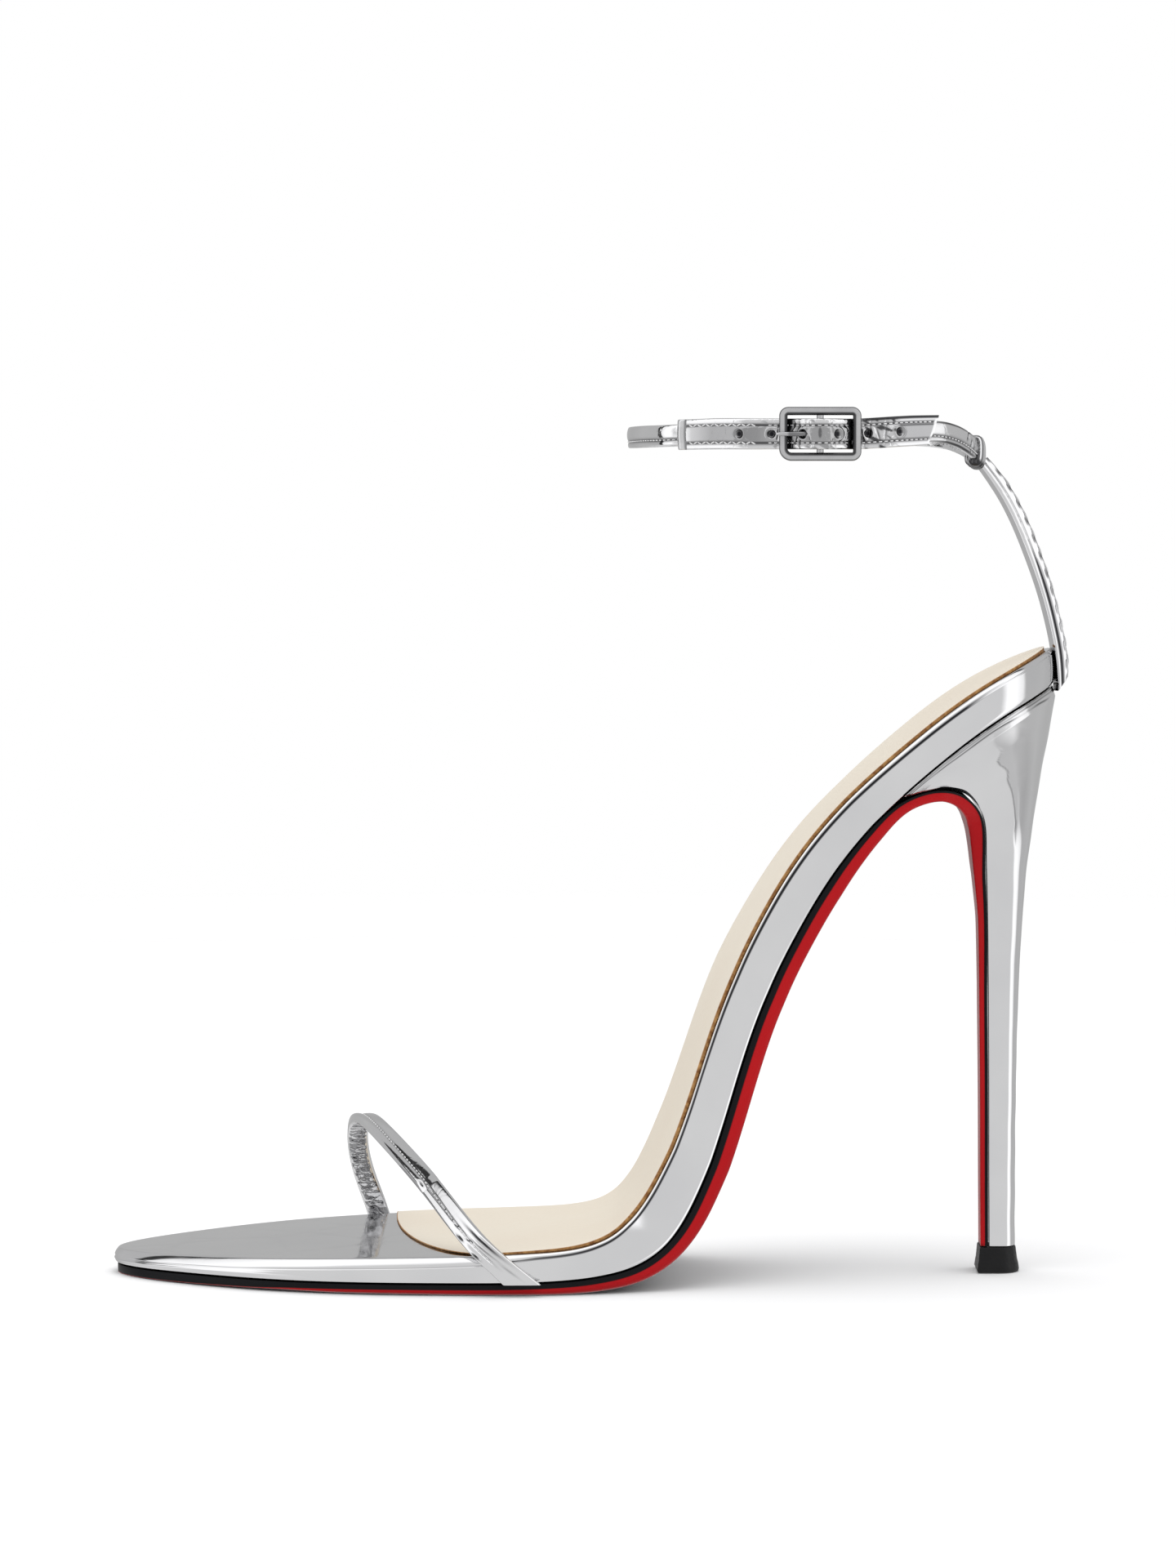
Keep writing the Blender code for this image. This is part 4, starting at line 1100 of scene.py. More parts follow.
def stitchGrid(strap, start, stop, pitch, share, rise, length, radius, slant=0.0):
    # A row of thread stitches: each is a small capsule along the strap whose ends dip into the leather.
    count = max(int((stop - start) / pitch), 1)
    where = start + pitch * (np.arange(count) + 0.5)
    spot = {name: np.stack([np.interp(where, strap["along"], strap[name][:, i]) for i in range(3)], axis=1)
            for name in ("centre", "ahead", "face", "across")}
    halfWide = 0.5 * np.interp(where, strap["along"], strap["wide"][:, 0])
    halfThick = 0.5 * np.interp(where, strap["along"], strap["thick"][:, 0])
    rings, sides = 7, 6
    run = np.linspace(-1, 1, rings)[:, None]
    turn = (np.arange(sides) * 2 * math.pi / sides)[None, :]
    bulk = radius * np.sqrt(np.maximum(1 - run**4, 0.02))
    forward = 0.5 * length * run * math.cos(slant) + 0 * turn
    sideways = 0.5 * length * run * math.sin(slant) + bulk * np.cos(turn)
    lift = bulk * np.sin(turn) - 1.2 * radius * run**2
    base = spot["centre"] + (halfThick + rise)[:, None] * spot["face"]
    base = base + (share * halfWide)[:, None] * spot["across"]
    points = (base[:, None, None] + forward[None, ..., None] * spot["ahead"][:, None, None]
              + sideways[None, ..., None] * spot["across"][:, None, None]
              + lift[None, ..., None] * spot["face"][:, None, None])
    lid = np.array([[0, 1, 2, 3], [0, 3, 4, 5]])
    one = np.concatenate([gridFaces(rings, sides, closeColumns=True), lid, lid + (rings - 1) * sides])
    faces = one[None] + rings * sides * np.arange(count)[:, None, None]
    return points.reshape(-1, 3), faces.reshape(-1, 4), {}


threadLook = {
    "colours": [(0.74, 0.74, 0.74), (0.55, 0.55, 0.56)],  # silky light grey
    "finish": (700.0, 5000.0, 0.05),  # as grainedFinish takes it
    "shine": {"Roughness": 0.38, "Metallic": 0.35},
}
thread = grainedFinish("paleThread", threadLook["colours"], *threadLook["finish"], **threadLook["shine"])

toeStrapLook = {
    # x, y, z, width, thickness: outer anchor, over the toes, inner anchor.
    "line": [
        (-12.9, -39.7, 2.5, 4.8, 1.6), (-17.2, -40.0, 6.2, 4.4, 1.7), (-20.6, -39.6, 9.3, 4.4, 1.8),
        (-24.2, -36.6, 12.9, 4.3, 1.8), (-30.6, -27.0, 19.7, 4.3, 1.8), (-37.0, -16.5, 25.6, 4.2, 1.8),
        (-41.4, -8.0, 29.1, 4.2, 1.8), (-44.8, 2.0, 30.6, 4.2, 1.8), (-46.7, 12.5, 28.2, 4.2, 1.8),
        (-47.0, 23.5, 21.3, 4.2, 1.8), (-45.4, 32.6, 13.4, 4.3, 1.8), (-43.6, 36.9, 7.4, 4.4, 1.7),
        (-42.2, 37.2, 2.5, 4.6, 1.6),
    ],
    "steps": 420,
    "lowest": 2.5,  # the ends are cut level on the lower lip of the cover
    "cutBack": 7.0,  # length over which an end is sheared to its level cut
    # Distance along and turn of the strap about its own line, in degrees.
    "roll": [(5, 0), (12, -16), (30, -16), (32.5, 2), (40, 0), (110, 0)],
    "groove": -0.2,  # place of the stitched groove across the strap
    "grooveHalf": 0.12,
    "grooveDepth": 0.22,
    "bandCrown": 0.18,  # how far each band beside the groove bulges
    "crownPeak": 0.7,  # share of a band, from the groove, where it is highest
    "stitched": (7.0, 8.0),  # distance of the first and the last stitch from the two ends
    "pitch": 1.05,
    "stitch": (-0.13, 0.82, 0.14),  # rise, length and radius
    "section": (90, 0.42, 0.43),  # points, squareness and flatness of the pill
    "leather": (420.0, 0.16, 0.03),  # crinkle scale, depth and steady share
    # Distance along and darkness of the painted shade in the groove.
    "grooveShade": [(0, 0.2), (15, 0.3), (18, 0.15), (30, 0.15), (31, 0.7), (42, 0.5), (110, 0.5)],
    # Dents near the outer anchor, as wrinkleCuts takes them; a slant of 1.5 runs along the strap.
    "wrinkles": [
        (11.5, 0.55, 1.52, 4.4, 0.26, 0.36), (15.2, -0.72, 1.5, 1.0, 0.26, 0.34),
        (10.3, -0.78, 1.5, 0.9, 0.22, 0.34), (10.5, 0.12, 1.5, 3.4, 0.15, 0.18),
        (13.4, -0.2, 1.2, 1.0, 0.20, 0.20), (31.8, -0.62, 1.5, 0.8, 0.22, 0.24),
        (28.6, -0.2, 1.5, 0.55, 0.16, 0.20), (25.9, -0.2, 1.5, 0.6, 0.16, 0.20),
        (23.0, -0.2, 1.5, 0.6, 0.16, 0.20), (20.2, -0.2, 1.5, 0.6, 0.16, 0.20),
        (17.6, -0.2, 1.4, 0.7, 0.18, 0.22), (4.0, 0.2, 1.5, 2.0, 0.20, 0.10),
    ],
}


def overTheToes(centre, ahead):
    # The toe strap faces away from a line along the foot, 4 mm above the floor.
    return centre * np.array([0, 1, 1]) - np.array([0, 0, 4.0])


def makeToeStrap():
    # A flat pill with two crowned bands beside a stitched groove; dents near the anchor; rough inner face.
    look = toeStrapLook
    strap = strapFrame(look["line"], overTheToes, look["steps"])
    roll = np.radians(fromTable(strap["along"], look["roll"]))[:, None]
    strap["face"] = np.cos(roll) * strap["face"] + np.sin(roll) * strap["across"]
    strap["across"] = np.cross(strap["ahead"], strap["face"])
    wide, thick = pillSection(*look["section"])
    along = strap["along"][:, None]
    length = strap["along"][-1]
    isOuter = np.clip(thick * 1.6, 0, 1)
    upper = fade(wide, look["groove"], 1 - look["groove"])
    lower = fade(wide, look["groove"], -1 - look["groove"])
    rise = (upper + lower) / look["crownPeak"] / 2
    crown = look["bandCrown"] * 4 * rise * (1 - rise)
    sewn = fade(along, 4, 4) * fade(along, length - 7, -4)
    cut = hump(wide, look["groove"], look["grooveHalf"]) * sewn
    dents = wrinkleCuts(along, wide, look["wrinkles"])
    relief = isOuter * (crown * (0.3 + 0.7 * sewn) - look["grooveDepth"] * cut - dents)
    skin = carried(strap, 0.5 * strap["wide"] * wide, 0.5 * strap["thick"] * thick + relief)
    rough = np.clip(-thick * 2, 0, 1) * fade(np.abs(wide), 0.82, -0.15)
    skin = skin + (0.10 * ripple(skin, 1.9, 2.0) * rough)[..., None] * strap["face"][:, None]
    for end, away in ((0, along), (-1, length - along)):
        ahead = strap["ahead"][end]
        level = (look["lowest"] - skin[end, :, 2]) / ahead[2]
        slide = level * fade(away, look["cutBack"], -look["cutBack"])
        skin = skin + slide[..., None] * ahead
    grooveShade = fromTable(along, look["grooveShade"])
    # painted shade in the stitched groove and in the dents
    fold = np.maximum(grooveShade * cut, 0.95 * fade(dents, 0, 0.25)) * isOuter
    grids = closedGrids(skin, {"fold": fold, "crinkle": 0.04 + 0.8 * rough + 0 * along}, {})
    leather = silverLeather("toeStrapLeather", *look["leather"])
    makePiece("toeStrap", grids, leather, ["toe_strap"])
    first, last = look["stitched"]
    row = stitchGrid(strap, first, length - last, look["pitch"], look["groove"], *look["stitch"])
    makePiece("toeStrapStitches", [row], thread)


makeToeStrap()

ankleLook = {
    "bar": (45.3, -33.2),  # middle bar of the buckle, x and y
    "frameHeight": 168.7,
    "wrapTurns": (60, 105, 150, 195, 240, 285),  # strap end folded round the bar
    "wrapRadius": 1.3,
    "wrapThick": 0.7,
    "tail": [
        (48.2, -32.5, 168.7, 4.2, 0.9), (51.5, -30.9, 168.7, 4.2, 1.1), (56.0, -29.3, 168.9, 4.2, 1.2),
    ],
    "loopCentre": 43.3,
    "loopLong": 34.7,
    "loopWide": 30.8,
    # Degrees round the ankle and height of the narrow strap.
    "loop": [
        (-56, 169.0), (-42, 169.1), (-28, 167.7), (-14, 165.6), (0, 164.7), (14, 165.6), (28, 167.3),
        (50, 168.3), (75, 168.5), (100, 168.2), (125, 168.2), (150, 168.0), (180, 167.9), (205, 168.2),
        (220, 168.4),
    ],
    "under": [(18.6, -20.9, 168.5, 4.2, 1.0), (24.0, -24.9, 168.6, 4.0, 0.7)],  # end inside the wide part
    "narrow": (4.2, 1.3),
    "steps": 760,
    "groove": 0.42,
    "grooveHalf": 0.18,
    "grooveDepth": 0.16,
    "crown": 0.12,  # bulge beside the groove
    "crownSpan": (-0.3, 0.7),  # its middle and half width across the strap
    "sewnFrom": 14.0,
    "stitched": (17.0, 6.0),  # distance of the first and the last stitch from the two ends
    "pitch": 1.1,
    "stitch": (-0.09, 0.84, 0.13),  # rise, length and radius
    "section": (60, 0.45, 0.3),  # points, squareness and flatness
    "leather": (380.0, 0.10),  # crinkle scale and depth
    # Dents before the sleeve at the back, as wrinkleCuts takes them.
    "wrinkles": [
        (40.8, -0.5, 0.3, 1.0, 0.30, 0.40), (43.0, 0.3, -0.3, 1.3, 0.34, 0.50),
        (45.2, -0.3, 0.3, 1.5, 0.34, 0.55), (47.2, 0.2, -0.2, 1.6, 0.40, 0.55),
    ],
}


def alongTheStrap(centre, ahead):
    # A strap that stands upright faces to the right of its own direction.
    return np.stack([ahead[:, 1], -ahead[:, 0], 0 * ahead[:, 0]], axis=1)


def loopPoints(turns, wide, thick):
    # Points of the ankle loop, an ellipse seen from above, with a height for each angle.
    look = ankleLook
    degrees, height = np.array(turns, float).T
    angle = np.radians(degrees)
    x = look["loopCentre"] + look["loopLong"] * np.cos(angle)
    return np.stack([x, look["loopWide"] * np.sin(angle), height, 0 * x + wide, 0 * x + thick], axis=1)


def makeNarrowStrap():
    # Folded round the buckle's bar, then round the ankle to the wide part, with one stitched groove.
    look = ankleLook
    turn = np.radians(look["wrapTurns"])
    barX, barY = look["bar"]
    radius, none = look["wrapRadius"], 0 * turn
    wrap = np.stack([
        barX - radius * np.sin(turn), barY + radius * np.cos(turn), none + look["frameHeight"],
        none + look["narrow"][0], none + look["wrapThick"],
    ], axis=1)
    line = np.concatenate([wrap, look["tail"], loopPoints(look["loop"], *look["narrow"]), look["under"]])
    strap = strapFrame(line, alongTheStrap, look["steps"])
    wide, thick = pillSection(*look["section"])
    along = strap["along"][:, None]
    sewn = fade(along, look["sewnFrom"], 2)
    isOuter = np.clip(thick * 1.6, 0, 1)
    cut = hump(wide, look["groove"], look["grooveHalf"]) * sewn
    middle, half = look["crownSpan"]
    crown = look["crown"] * np.cos(0.5 * math.pi * np.clip((wide - middle) / half, -1, 1))
    dents = wrinkleCuts(along, wide, look["wrinkles"])
    relief = isOuter * (crown - look["grooveDepth"] * cut - dents)
    skin = carried(strap, 0.5 * strap["wide"] * wide, 0.5 * strap["thick"] * thick + relief)
    skin = skin + (0.05 * ripple(skin, 4.0, 4.0))[..., None] * strap["face"][:, None]
    rough = np.clip(-thick * 2, 0, 1)
    edges = 0.92 * fade(np.abs(wide), 0.74, 0.08) * hump(along, 38, 9, 4)  # painted shade along the edges before the sleeve
    # painted shade in the groove and the dents
    fold = np.max(np.broadcast_arrays(0.92 * cut, 0.95 * fade(dents, 0, 0.28), edges), axis=0)
    values = {"fold": fold * isOuter, "crinkle": 0.25 + 0.9 * rough + 0 * along}
    leather = silverLeather("narrowStrapLeather", *look["leather"])
    makePiece("narrowAnkleStrap", closedGrids(skin, values, {}), leather, ["ankle_strap"])
    first, last = look["stitched"]
    span = (first, strap["along"][-1] - last)
    row = stitchGrid(strap, *span, look["pitch"], look["groove"], *look["stitch"])
    makePiece("narrowStrapStitches", [row], thread)


billetLook = {
    # Wide stitched end: under the frame's outer bars and over its middle one.
    "line": [
        (18.2, -21.1, 168.5, 6.0, 1.5), (21.5, -23.9, 168.6, 6.0, 1.35), (25.0, -26.3, 168.7, 6.1, 1.3),
        (32.0, -30.4, 168.7, 6.1, 1.2), (38.1, -32.3, 168.7, 6.0, 1.2), (41.6, -34.0, 168.7, 6.0, 1.2),
        (45.3, -35.65, 168.7, 6.0, 1.2), (49.0, -34.0, 168.7, 6.0, 1.2), (52.5, -32.3, 168.7, 6.0, 1.2),
        (58.0, -31.0, 169.0, 6.0, 1.2), (63.4, -28.1, 169.3, 6.0, 1.2), (67.6, -25.1, 169.45, 5.8, 1.15),
    ],
    "steps": 620,
    "holes": (29.8, 36.0, 42.2, 48.4, 54.6, 60.8),  # x of the punched holes
    "holeRadius": 0.78,
    "holeDepth": 0.52,
    "rows": (-0.56, 0.58),  # stitched rows across the width
    "rowHalf": 0.13,
    "rowDepth": 0.16,
    "crown": 0.14,  # bulge between the rows
    "shaded": [(39.6, 1.0), (51.2, 0.75)],  # x and half length of the shade beside the frame's bars
    # Distance along and darkness of the painted reflection tone between the rows.
    "reflectionTone": [
        (2, 0.1), (3.5, 0.4), (8, 0.6), (18, 0.55), (22, 0.35), (24, 0.5), (38, 0.5), (40, 0.1), (46, 0.1),
        (47.5, 0.5), (60, 0.5),
    ],
    # Distance along and strength of the painted dark reflection spots in crumpled leather.
    "darkReflectionSpots": [(18, 0.0), (20, 0.5), (38, 0.6), (39.5, 1.0), (46.5, 1.0), (48.5, 0.0)],
    "slantCut": 1.5,  # the free end is longer at its upper edge
    "slantLength": 5.0,  # length over which the end is sheared
    "wavy": (2.2, 19.0),  # stretch with slanted stitches, up to the buckle
    "wavyPitch": 2.0,
    "wavyStitch": (-0.06, 1.25, 0.17),  # rise, length and radius
    "wavySlant": 0.42,
    "straight": (38.5, 56.0),
    "pitch": 1.15,
    "stitch": (-0.08, 0.86, 0.15),
    "lowStitch": (-0.09, 0.86, 0.13),  # in the buckle
    "section": (90, 0.36, 0.2),  # points, squareness and flatness
    "leather": (430.0, 0.12),  # crinkle scale and depth
    "wrinkles": [
        (22.3, -0.1, 0.2, 1.7, 0.22, 0.16), (24.2, 0.35, -0.4, 1.3, 0.20, 0.14),
        (26.4, -0.2, 0.3, 1.6, 0.22, 0.18), (28.9, 0.25, -0.2, 1.8, 0.24, 0.16),
        (31.0, -0.08, 0.0, 0.9, 0.38, 0.30), (33.4, 0.1, -0.3, 1.6, 0.22, 0.14),
        (38.6, -0.1, 0.35, 1.6, 0.26, 0.22), (40.1, 0.2, -0.3, 1.5, 0.24, 0.22),
        (41.7, -0.15, 0.3, 1.6, 0.26, 0.22), (43.3, 0.1, -0.35, 1.5, 0.24, 0.20),
        (44.8, 0.0, 0.2, 1.7, 0.26, 0.16),
    ],
}


def makeBillet():
    # A flat strap with two stitched rows, punched holes and crumpled stretches. The heights and depths
    # of all of these add up on its outer face.
    look = billetLook
    strap = strapFrame(look["line"], alongTheStrap, look["steps"])
    wide, thick = pillSection(*look["section"])
    along = strap["along"][:, None]
    length = strap["along"][-1]
    isOuter = np.clip(thick * 1.8, 0, 1)
    cut = sum(hump(wide, row, look["rowHalf"]) for row in look["rows"]) * fade(along, 1.6, 0.6)
    upperRow, lowerRow = look["rows"]
    fromMiddle, halfGap = wide - (upperRow + lowerRow) / 2, (lowerRow - upperRow) / 2
    middle = look["crown"] * np.cos(0.5 * math.pi * np.clip(fromMiddle / halfGap, -1, 1))
    folded = 0.42 * hump(along, 0.75, 0.62) - 0.20 * hump(along, 1.75, 0.22)  # hem and its seam
    dents = wrinkleCuts(along, wide, look["wrinkles"])
    centreX = strap["centre"][:, :1]
    holes = np.interp(look["holes"], centreX[:, 0], along[:, 0])
    near = np.min([np.hypot(along - hole, 3.0 * wide) for hole in holes], axis=0)
    inHole = hump(near, 0, look["holeRadius"], 6)
    rim = 0.09 * hump(near, 1.15, 0.22)
    relief = isOuter * (middle + folded + rim - look["rowDepth"] * cut - dents - look["holeDepth"] * inHole)
    relief = relief + np.clip(-thick * 1.8, 0, 1) * look["holeDepth"] * inHole
    skin = carried(strap, 0.5 * strap["wide"] * wide, 0.5 * strap["thick"] * thick + relief)
    slanted = fade(along, length - look["slantLength"], look["slantLength"]) * look["slantCut"] * wide
    skin = skin - slanted[..., None] * strap["ahead"][:, None]
    seam = hump(along, 1.75, 0.2)
    # painted shade in the stitch rows, the dents and the holes, and a dark line at the hem's seam
    fold = np.max(np.broadcast_arrays(0.95 * cut, 0.8 * fade(dents, 0, 0.2), inHole, 0.7 * seam), axis=0)
    topEdge = fade(wide, -0.78, -0.05) * fade(along, 38, 3)
    underRow = hump(wide, upperRow + 0.16, 0.10) * fade(along, 46, 2)
    rawEnd = fade(along, length - 0.7, 0.3)
    reflectionSpots = np.clip(2.4 * ripple(skin, 1.5, 7.0) - 0.35, 0, 0.9) * fromTable(along, look["darkReflectionSpots"])
    underBars = sum(hump(centreX, bar, half, 4) for bar, half in look["shaded"])
    between = fade(np.abs(fromMiddle), halfGap, -0.08) * fromTable(along, look["reflectionTone"])
    # painted shade beside the frame's bars and below the upper row, with the painted reflection tone and
    # spots
    shades = [fold, 0.92 * underBars, between, 0.9 * underRow, reflectionSpots]
    fold = np.max(np.broadcast_arrays(*shades), axis=0) * (1 - rawEnd)
    fold = np.maximum(fold, 0.95 * topEdge) * np.maximum(isOuter, inHole)
    busy = hump(along, 27, 8, 4) + hump(along, 41.5, 4, 4)
    crinkle = 0.3 * np.clip((50 - along) / 3, 0.15, 1) + 0.9 * busy + 0 * wide
    values = {"fold": fold, "crinkle": crinkle}
    leather = silverLeather("billetLeather", *look["leather"])
    makePiece("billet", closedGrids(skin, values, {}), leather, ["ankle_strap"])
    start, stop = look["wavy"]
    flat = look["straight"]
    rows = []
    for row in look["rows"]:
        for first, slant in ((start, look["wavySlant"]), (start + 1.0, -look["wavySlant"])):
            rows.append(stitchGrid(strap, first, stop, look["wavyPitch"], row, *look["wavyStitch"], slant))
        rows.append(stitchGrid(strap, *flat, look["pitch"], row, *look["stitch"]))
        rows.append(stitchGrid(strap, stop + 1, flat[0] - 1, look["pitch"], row, *look["lowStitch"]))
    makePiece("billetStitches", rows, thread)


makeNarrowStrap()
makeBillet()

heelStrapLook = {
    # From the heel end of the cover up to the ankle strap: x, y, z, width, thickness.
    "line": [
        (95.05, 0, 118.6, 5.4, 2.5), (94.75, 0, 124.0, 5.2, 2.8), (93.8, 0, 129.4, 5.0, 2.8),
        (91.8, 0, 137.2, 5.0, 2.9), (89.1, 0, 145.0, 5.0, 3.0), (85.7, 0, 153.0, 5.0, 3.0),
        (82.2, 0, 159.0, 5.0, 2.9), (79.0, 0, 163.2, 4.6, 2.5),
    ],
    "steps": 260,
    "faces": (1.0, 0.16, 0.3),  # its back is turned a little to the inner side
    "taper": 0.44,  # the back layer is narrower
    "joint": -0.12,  # place of the joint between its two layers, across the thickness
    "backFrom": 0.46,  # the scalloped part of the back layer starts here
    "jointHalf": [(0, 0.24), (20, 0.22), (28, 0.10), (60, 0.10)],  # distance along, half width
    "jointDark": [(0, 1.0), (25, 1.0), (30, 0.12), (60, 0.12)],  # distance along, darkness of the joint
    "scallop": 3.7,  # pitch of the stitched back edge
    "slantEnd": 1.4,  # the lower end is cut upwards to the back
    "rows": (-0.62, 0.62),
    "stitch": (-0.06, 2.6, 0.10),  # rise, length and radius
    "section": (80, 0.28, 0.58),  # points, squareness and flatness
    "leather": (260.0, 0.09),  # crinkle scale and depth
    # Sleeve round the ankle strap: degrees round the ankle and height.
    "sleeve": [(-13, 165.45), (-8, 165.05), (0, 164.7), (8, 165.05), (13, 165.45)],
    "sleeveSize": (6.3, 3.0),
    "sleeveSection": (48, 0.7, 0.48),
    "gathers": 2.1,  # length of one gather
}


def sleeveGrids():
    # A short gathered band: its size waves by a cosine along its length, and its ends are drawn in.
    look = heelStrapLook
    band = strapFrame(loopPoints(look["sleeve"], *look["sleeveSize"]), alongTheStrap, 120)
    wide, thick = pillSection(*look["sleeveSection"])
    along = band["along"][:, None]
    length = band["along"][-1]
    gather = np.cos(2 * math.pi * (along - length / 2) / look["gathers"])
    ends = np.sqrt(np.clip(1 - (2 * along / length - 1) ** 8, 0.02, 1))
    sideways = 0.5 * band["wide"] * wide * (0.80 + 0.2 * ends) * (1 + 0.035 * gather)
    outwards = 0.5 * band["thick"] * thick * (0.68 + 0.32 * ends) * (1 + 0.13 * gather)
    fromEnd = np.minimum(along, length - along)
    # painted shade in the troughs of the gathers, round the drawn-in ends and along the edges; the end caps
    # get painted shade too
    dark = [hump(gather, -1, 0.5), hump(fromEnd, 0.55, 0.2), fade(wide, 0.55, 0.2)]
    dark = 0.95 * np.max(np.broadcast_arrays(*dark), axis=0)
    return closedGrids(carried(band, sideways, outwards), {"fold": dark, "crinkle": 0.8}, {"fold": 0.85})


def makeHeelStrap():
    # Two layers sewn together: a groove runs along both edges, and the back layer is pulled in
    # at each stitch by a cosine wave.
    look = heelStrapLook
    strap = strapFrame(look["line"], facing(look["faces"]), look["steps"])
    wide, thick = pillSection(*look["section"])
    along = strap["along"][:, None]
    jointHalf = fromTable(along, look["jointHalf"])
    joint = hump(thick, look["joint"], jointHalf, 4)
    back = fade(thick, look["backFrom"], 0.2)
    stitched = 0.5 + 0.5 * np.cos(2 * math.pi * along / look["scallop"])
    pulled = back * stitched
    narrowed = 1 - 0.5 * look["taper"] * (1 + thick) - 0.08 * joint - 0.07 * pulled
    sideways = 0.5 * strap["wide"] * wide * narrowed
    outwards = 0.5 * strap["thick"] * thick - 0.12 * pulled * np.abs(wide) ** 3
    skin = carried(strap, sideways, outwards)
    slanted = fade(along, 4, -4) * look["slantEnd"] * thick
    skin = skin + slanted[..., None] * strap["ahead"][:, None]
    onEdge = fade(np.abs(wide), 0.75, 0.1)
    joint = joint * fromTable(along, look["jointDark"])
    # painted shade at each stitch, where the back layer is pulled in
    dashes = fade(thick, 0.6, 0.12) * stitched**1.5 * fade(along, 14, 6)
    values = {"fold": np.maximum(joint, 0.8 * dashes) * onEdge, "crinkle": 0.15 + 0.4 * back + 0 * along}
    leather = silverLeather("heelStrapLeather", *look["leather"])
    grids = closedGrids(skin, values, {}) + sleeveGrids()
    makePiece("heelStrap", grids, leather, ["ankle_strap"])
    span = (3.0, strap["along"][-1] - 3)
    rows = [stitchGrid(strap, *span, look["scallop"], share, *look["stitch"]) for share in look["rows"]]
    makePiece("heelStrapStitches", rows, thread)


makeHeelStrap()

buckleLook = {
    "frameY": -34.0,
    "long": 14.4,  # between the centre lines of the frame's bars
    "tall": 8.9,
    "corners": (0.95, 0.95, 1.6, 1.0),  # corner rounding: upper back, upper front, lower front, lower back
    "barHalf": 0.82,
    "barDeep": 0.74,
    "middleRadius": 0.7,
    "eyeOuter": 1.6,
    "prongHalf": 0.5,
    "fineGap": 0.2,
    "metal": (0.47, 0.47, 0.475),
    "metalOther": (0.38, 0.38, 0.39),
    "edgeShade": (0.03, 0.03, 0.032),  # painted shade along the edges of the frame
    "metalScale": 240.0,
    "scuffScale": 3200.0,
    "scuffDepth": 0.008,
    "rough": (0.08, 0.17),  # share of the clouds, least roughness
    "frameSection": (40, 0.72, 0.9),  # points, squareness and flatness
    "pinSection": (20, 0.8, 1.0),
}


def buckleMetal():
    # Grey plated metal, lightly polished, with fine scuffs.
    look = buckleLook
    material, tree, inputs = newMaterial("buckleMetal", Metallic=1.0)
    tone = clouds(tree, look, "metal")
    grain = useGroup(tree, fineGrain, Scale=look["scuffScale"])
    # painted shade from the mesh's fold value: the frame's edges and the prong's pin inside the frame
    dark = mixColour(tree, meshValue(tree, "fold"), tone["Colour"], look["edgeShade"])
    tree.links.new(dark, inputs["Base Color"])
    tree.links.new(maths(tree, "MULTIPLY_ADD", tone["Cloud"], *look["rough"]), inputs["Roughness"])
    addBump(tree, inputs, grain["Height"], look["scuffDepth"])
    return material


def tubeRound(x, y, low, high, radius):
    # An upright round bar with its ends closed.
    turn = np.arange(32) * 2 * math.pi / 32
    height = np.linspace(low, high, 12)[:, None]
    ring = (x + radius * np.cos(turn), y + radius * np.sin(turn))
    return closedGrids(np.stack(np.broadcast_arrays(*ring, height), axis=-1), {}, {})


def makeFrame(metal):
    # The frame is a flat section, rounded at its edges, carried round a rectangle with rounded corners.
    look = buckleLook
    barX, barY = ankleLook["bar"]
    middleZ = ankleLook["frameHeight"]
    halfLong, halfTall = look["long"] / 2, look["tall"] / 2
    radius = np.repeat(look["corners"], 18)
    turn = np.radians(np.linspace(0, 90, 18)[None, :] + 90 * np.arange(4)[:, None]).reshape(-1)
    signX = np.repeat([1, -1, -1, 1], 18)
    signZ = np.repeat([1, 1, -1, -1], 18)
    out = np.stack([np.cos(turn), 0 * turn, np.sin(turn)], axis=1)
    corner = np.stack([barX + signX * (halfLong - radius), 0 * turn + look["frameY"],
                       middleZ + signZ * (halfTall - radius)], axis=1)
    centre = corner + radius[:, None] * out
    wide, deep = pillSection(*look["frameSection"])
    skin = (centre[:, None] + look["barHalf"] * wide[None, :, None] * out[:, None]
            + look["barDeep"] * deep[None, :, None] * np.array([0, -1.0, 0]))
    # painted shade: dark and wide on the bar's inner edge, thin on its outer edge
    rim = np.maximum(0.7 * fade(wide, 0.55, 0.22), 0.96 * fade(wide, -0.12, -0.3))
    grids = [(skin, gridFaces(*skin.shape[:2], closeColumns=True, closeRows=True), {"fold": rim})]
    grids += tubeRound(barX, barY, middleZ - halfTall, middleZ + halfTall, look["middleRadius"])
    makePiece("buckleFrame", grids, metal, ["buckle_frame"], sharp=40)


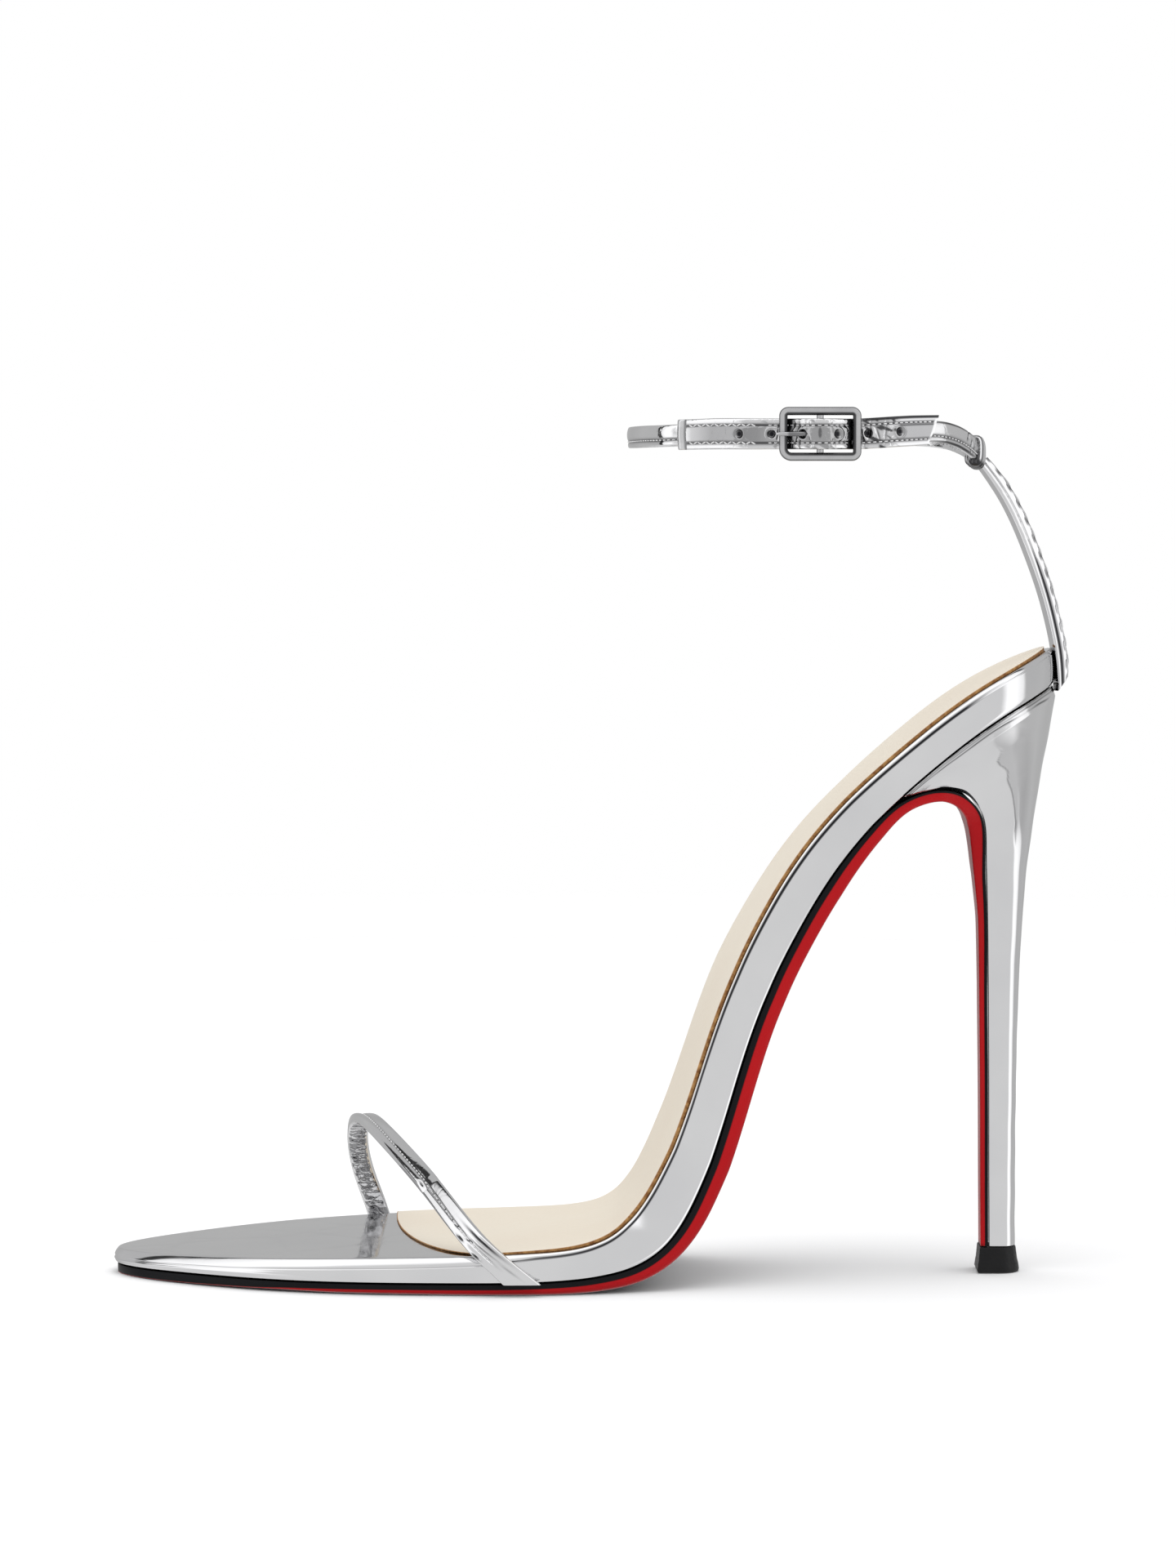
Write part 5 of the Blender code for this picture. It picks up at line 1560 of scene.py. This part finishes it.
def makeProng(metal):
    # A ring round the middle bar, and a tapering pin from it that rests on the frame.
    look = buckleLook
    barX, barY = ankleLook["bar"]
    middleZ = ankleLook["frameHeight"]
    restY = look["frameY"] - look["barHalf"] - look["fineGap"] - look["prongHalf"] - 0.1
    frontX = barX - look["long"] / 2 - look["barHalf"]
    pin = np.array([
        (barX - 1.2, barY - 0.6, middleZ, 1.0, 1.0), (barX - 3.2, barY - 1.55, middleZ, 1.0, 1.0),
        (frontX + 2.2, restY + 0.12, middleZ, 0.9, 0.95), (frontX, restY, middleZ, 0.72, 0.8),
        (frontX - 0.5, restY + 0.1, middleZ, 0.45, 0.5),
    ])
    rod = strapFrame(pin, facing((0.0, -1.0, 0.0)), 40)
    wide, thick = pillSection(*look["pinSection"])
    # painted shade on the pin where it lies inside the frame
    shade = 0.6 * fade(rod["centre"][:, :1], frontX + 1.4, 0.5) + 0 * wide
    skin = carried(rod, 0.5 * rod["wide"] * wide, 0.5 * rod["thick"] * thick)
    prong = closedGrids(skin, {"fold": shade}, {})
    inner = look["middleRadius"] + look["fineGap"]
    roundBar = np.arange(40)[:, None] * 2 * math.pi / 40
    roundWire = np.arange(16)[None, :] * 2 * math.pi / 16
    reach = (inner + look["eyeOuter"]) / 2 + (look["eyeOuter"] - inner) / 2 * np.cos(roundWire)
    eye = np.stack(np.broadcast_arrays(barX + reach * np.cos(roundBar), barY + reach * np.sin(roundBar),
                                       middleZ + look["prongHalf"] * np.sin(roundWire)), axis=-1)
    prong.append((eye, gridFaces(40, 16, closeColumns=True, closeRows=True), {}))
    makePiece("buckleProng", prong, metal, ["buckle_prong"], sharp=40)


buckleSilver = buckleMetal()
makeFrame(buckleSilver)
makeProng(buckleSilver)

boardLook = {
    "colours": [(0.30, 0.21, 0.13), (0.22, 0.15, 0.09)],
    "finish": (500.0, 1100.0, 0.08, (0.1, 0.8)),  # as grainedFinish takes it
}


def dressBoard():
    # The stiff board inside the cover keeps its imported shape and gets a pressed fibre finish.
    look = boardLook
    material = grainedFinish("fibreBoard", look["colours"], *look["finish"], Specular_IOR_Level=0.25)
    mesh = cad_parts["insole_board"].data
    mesh.materials.clear()
    mesh.materials.append(material)


dressBoard()
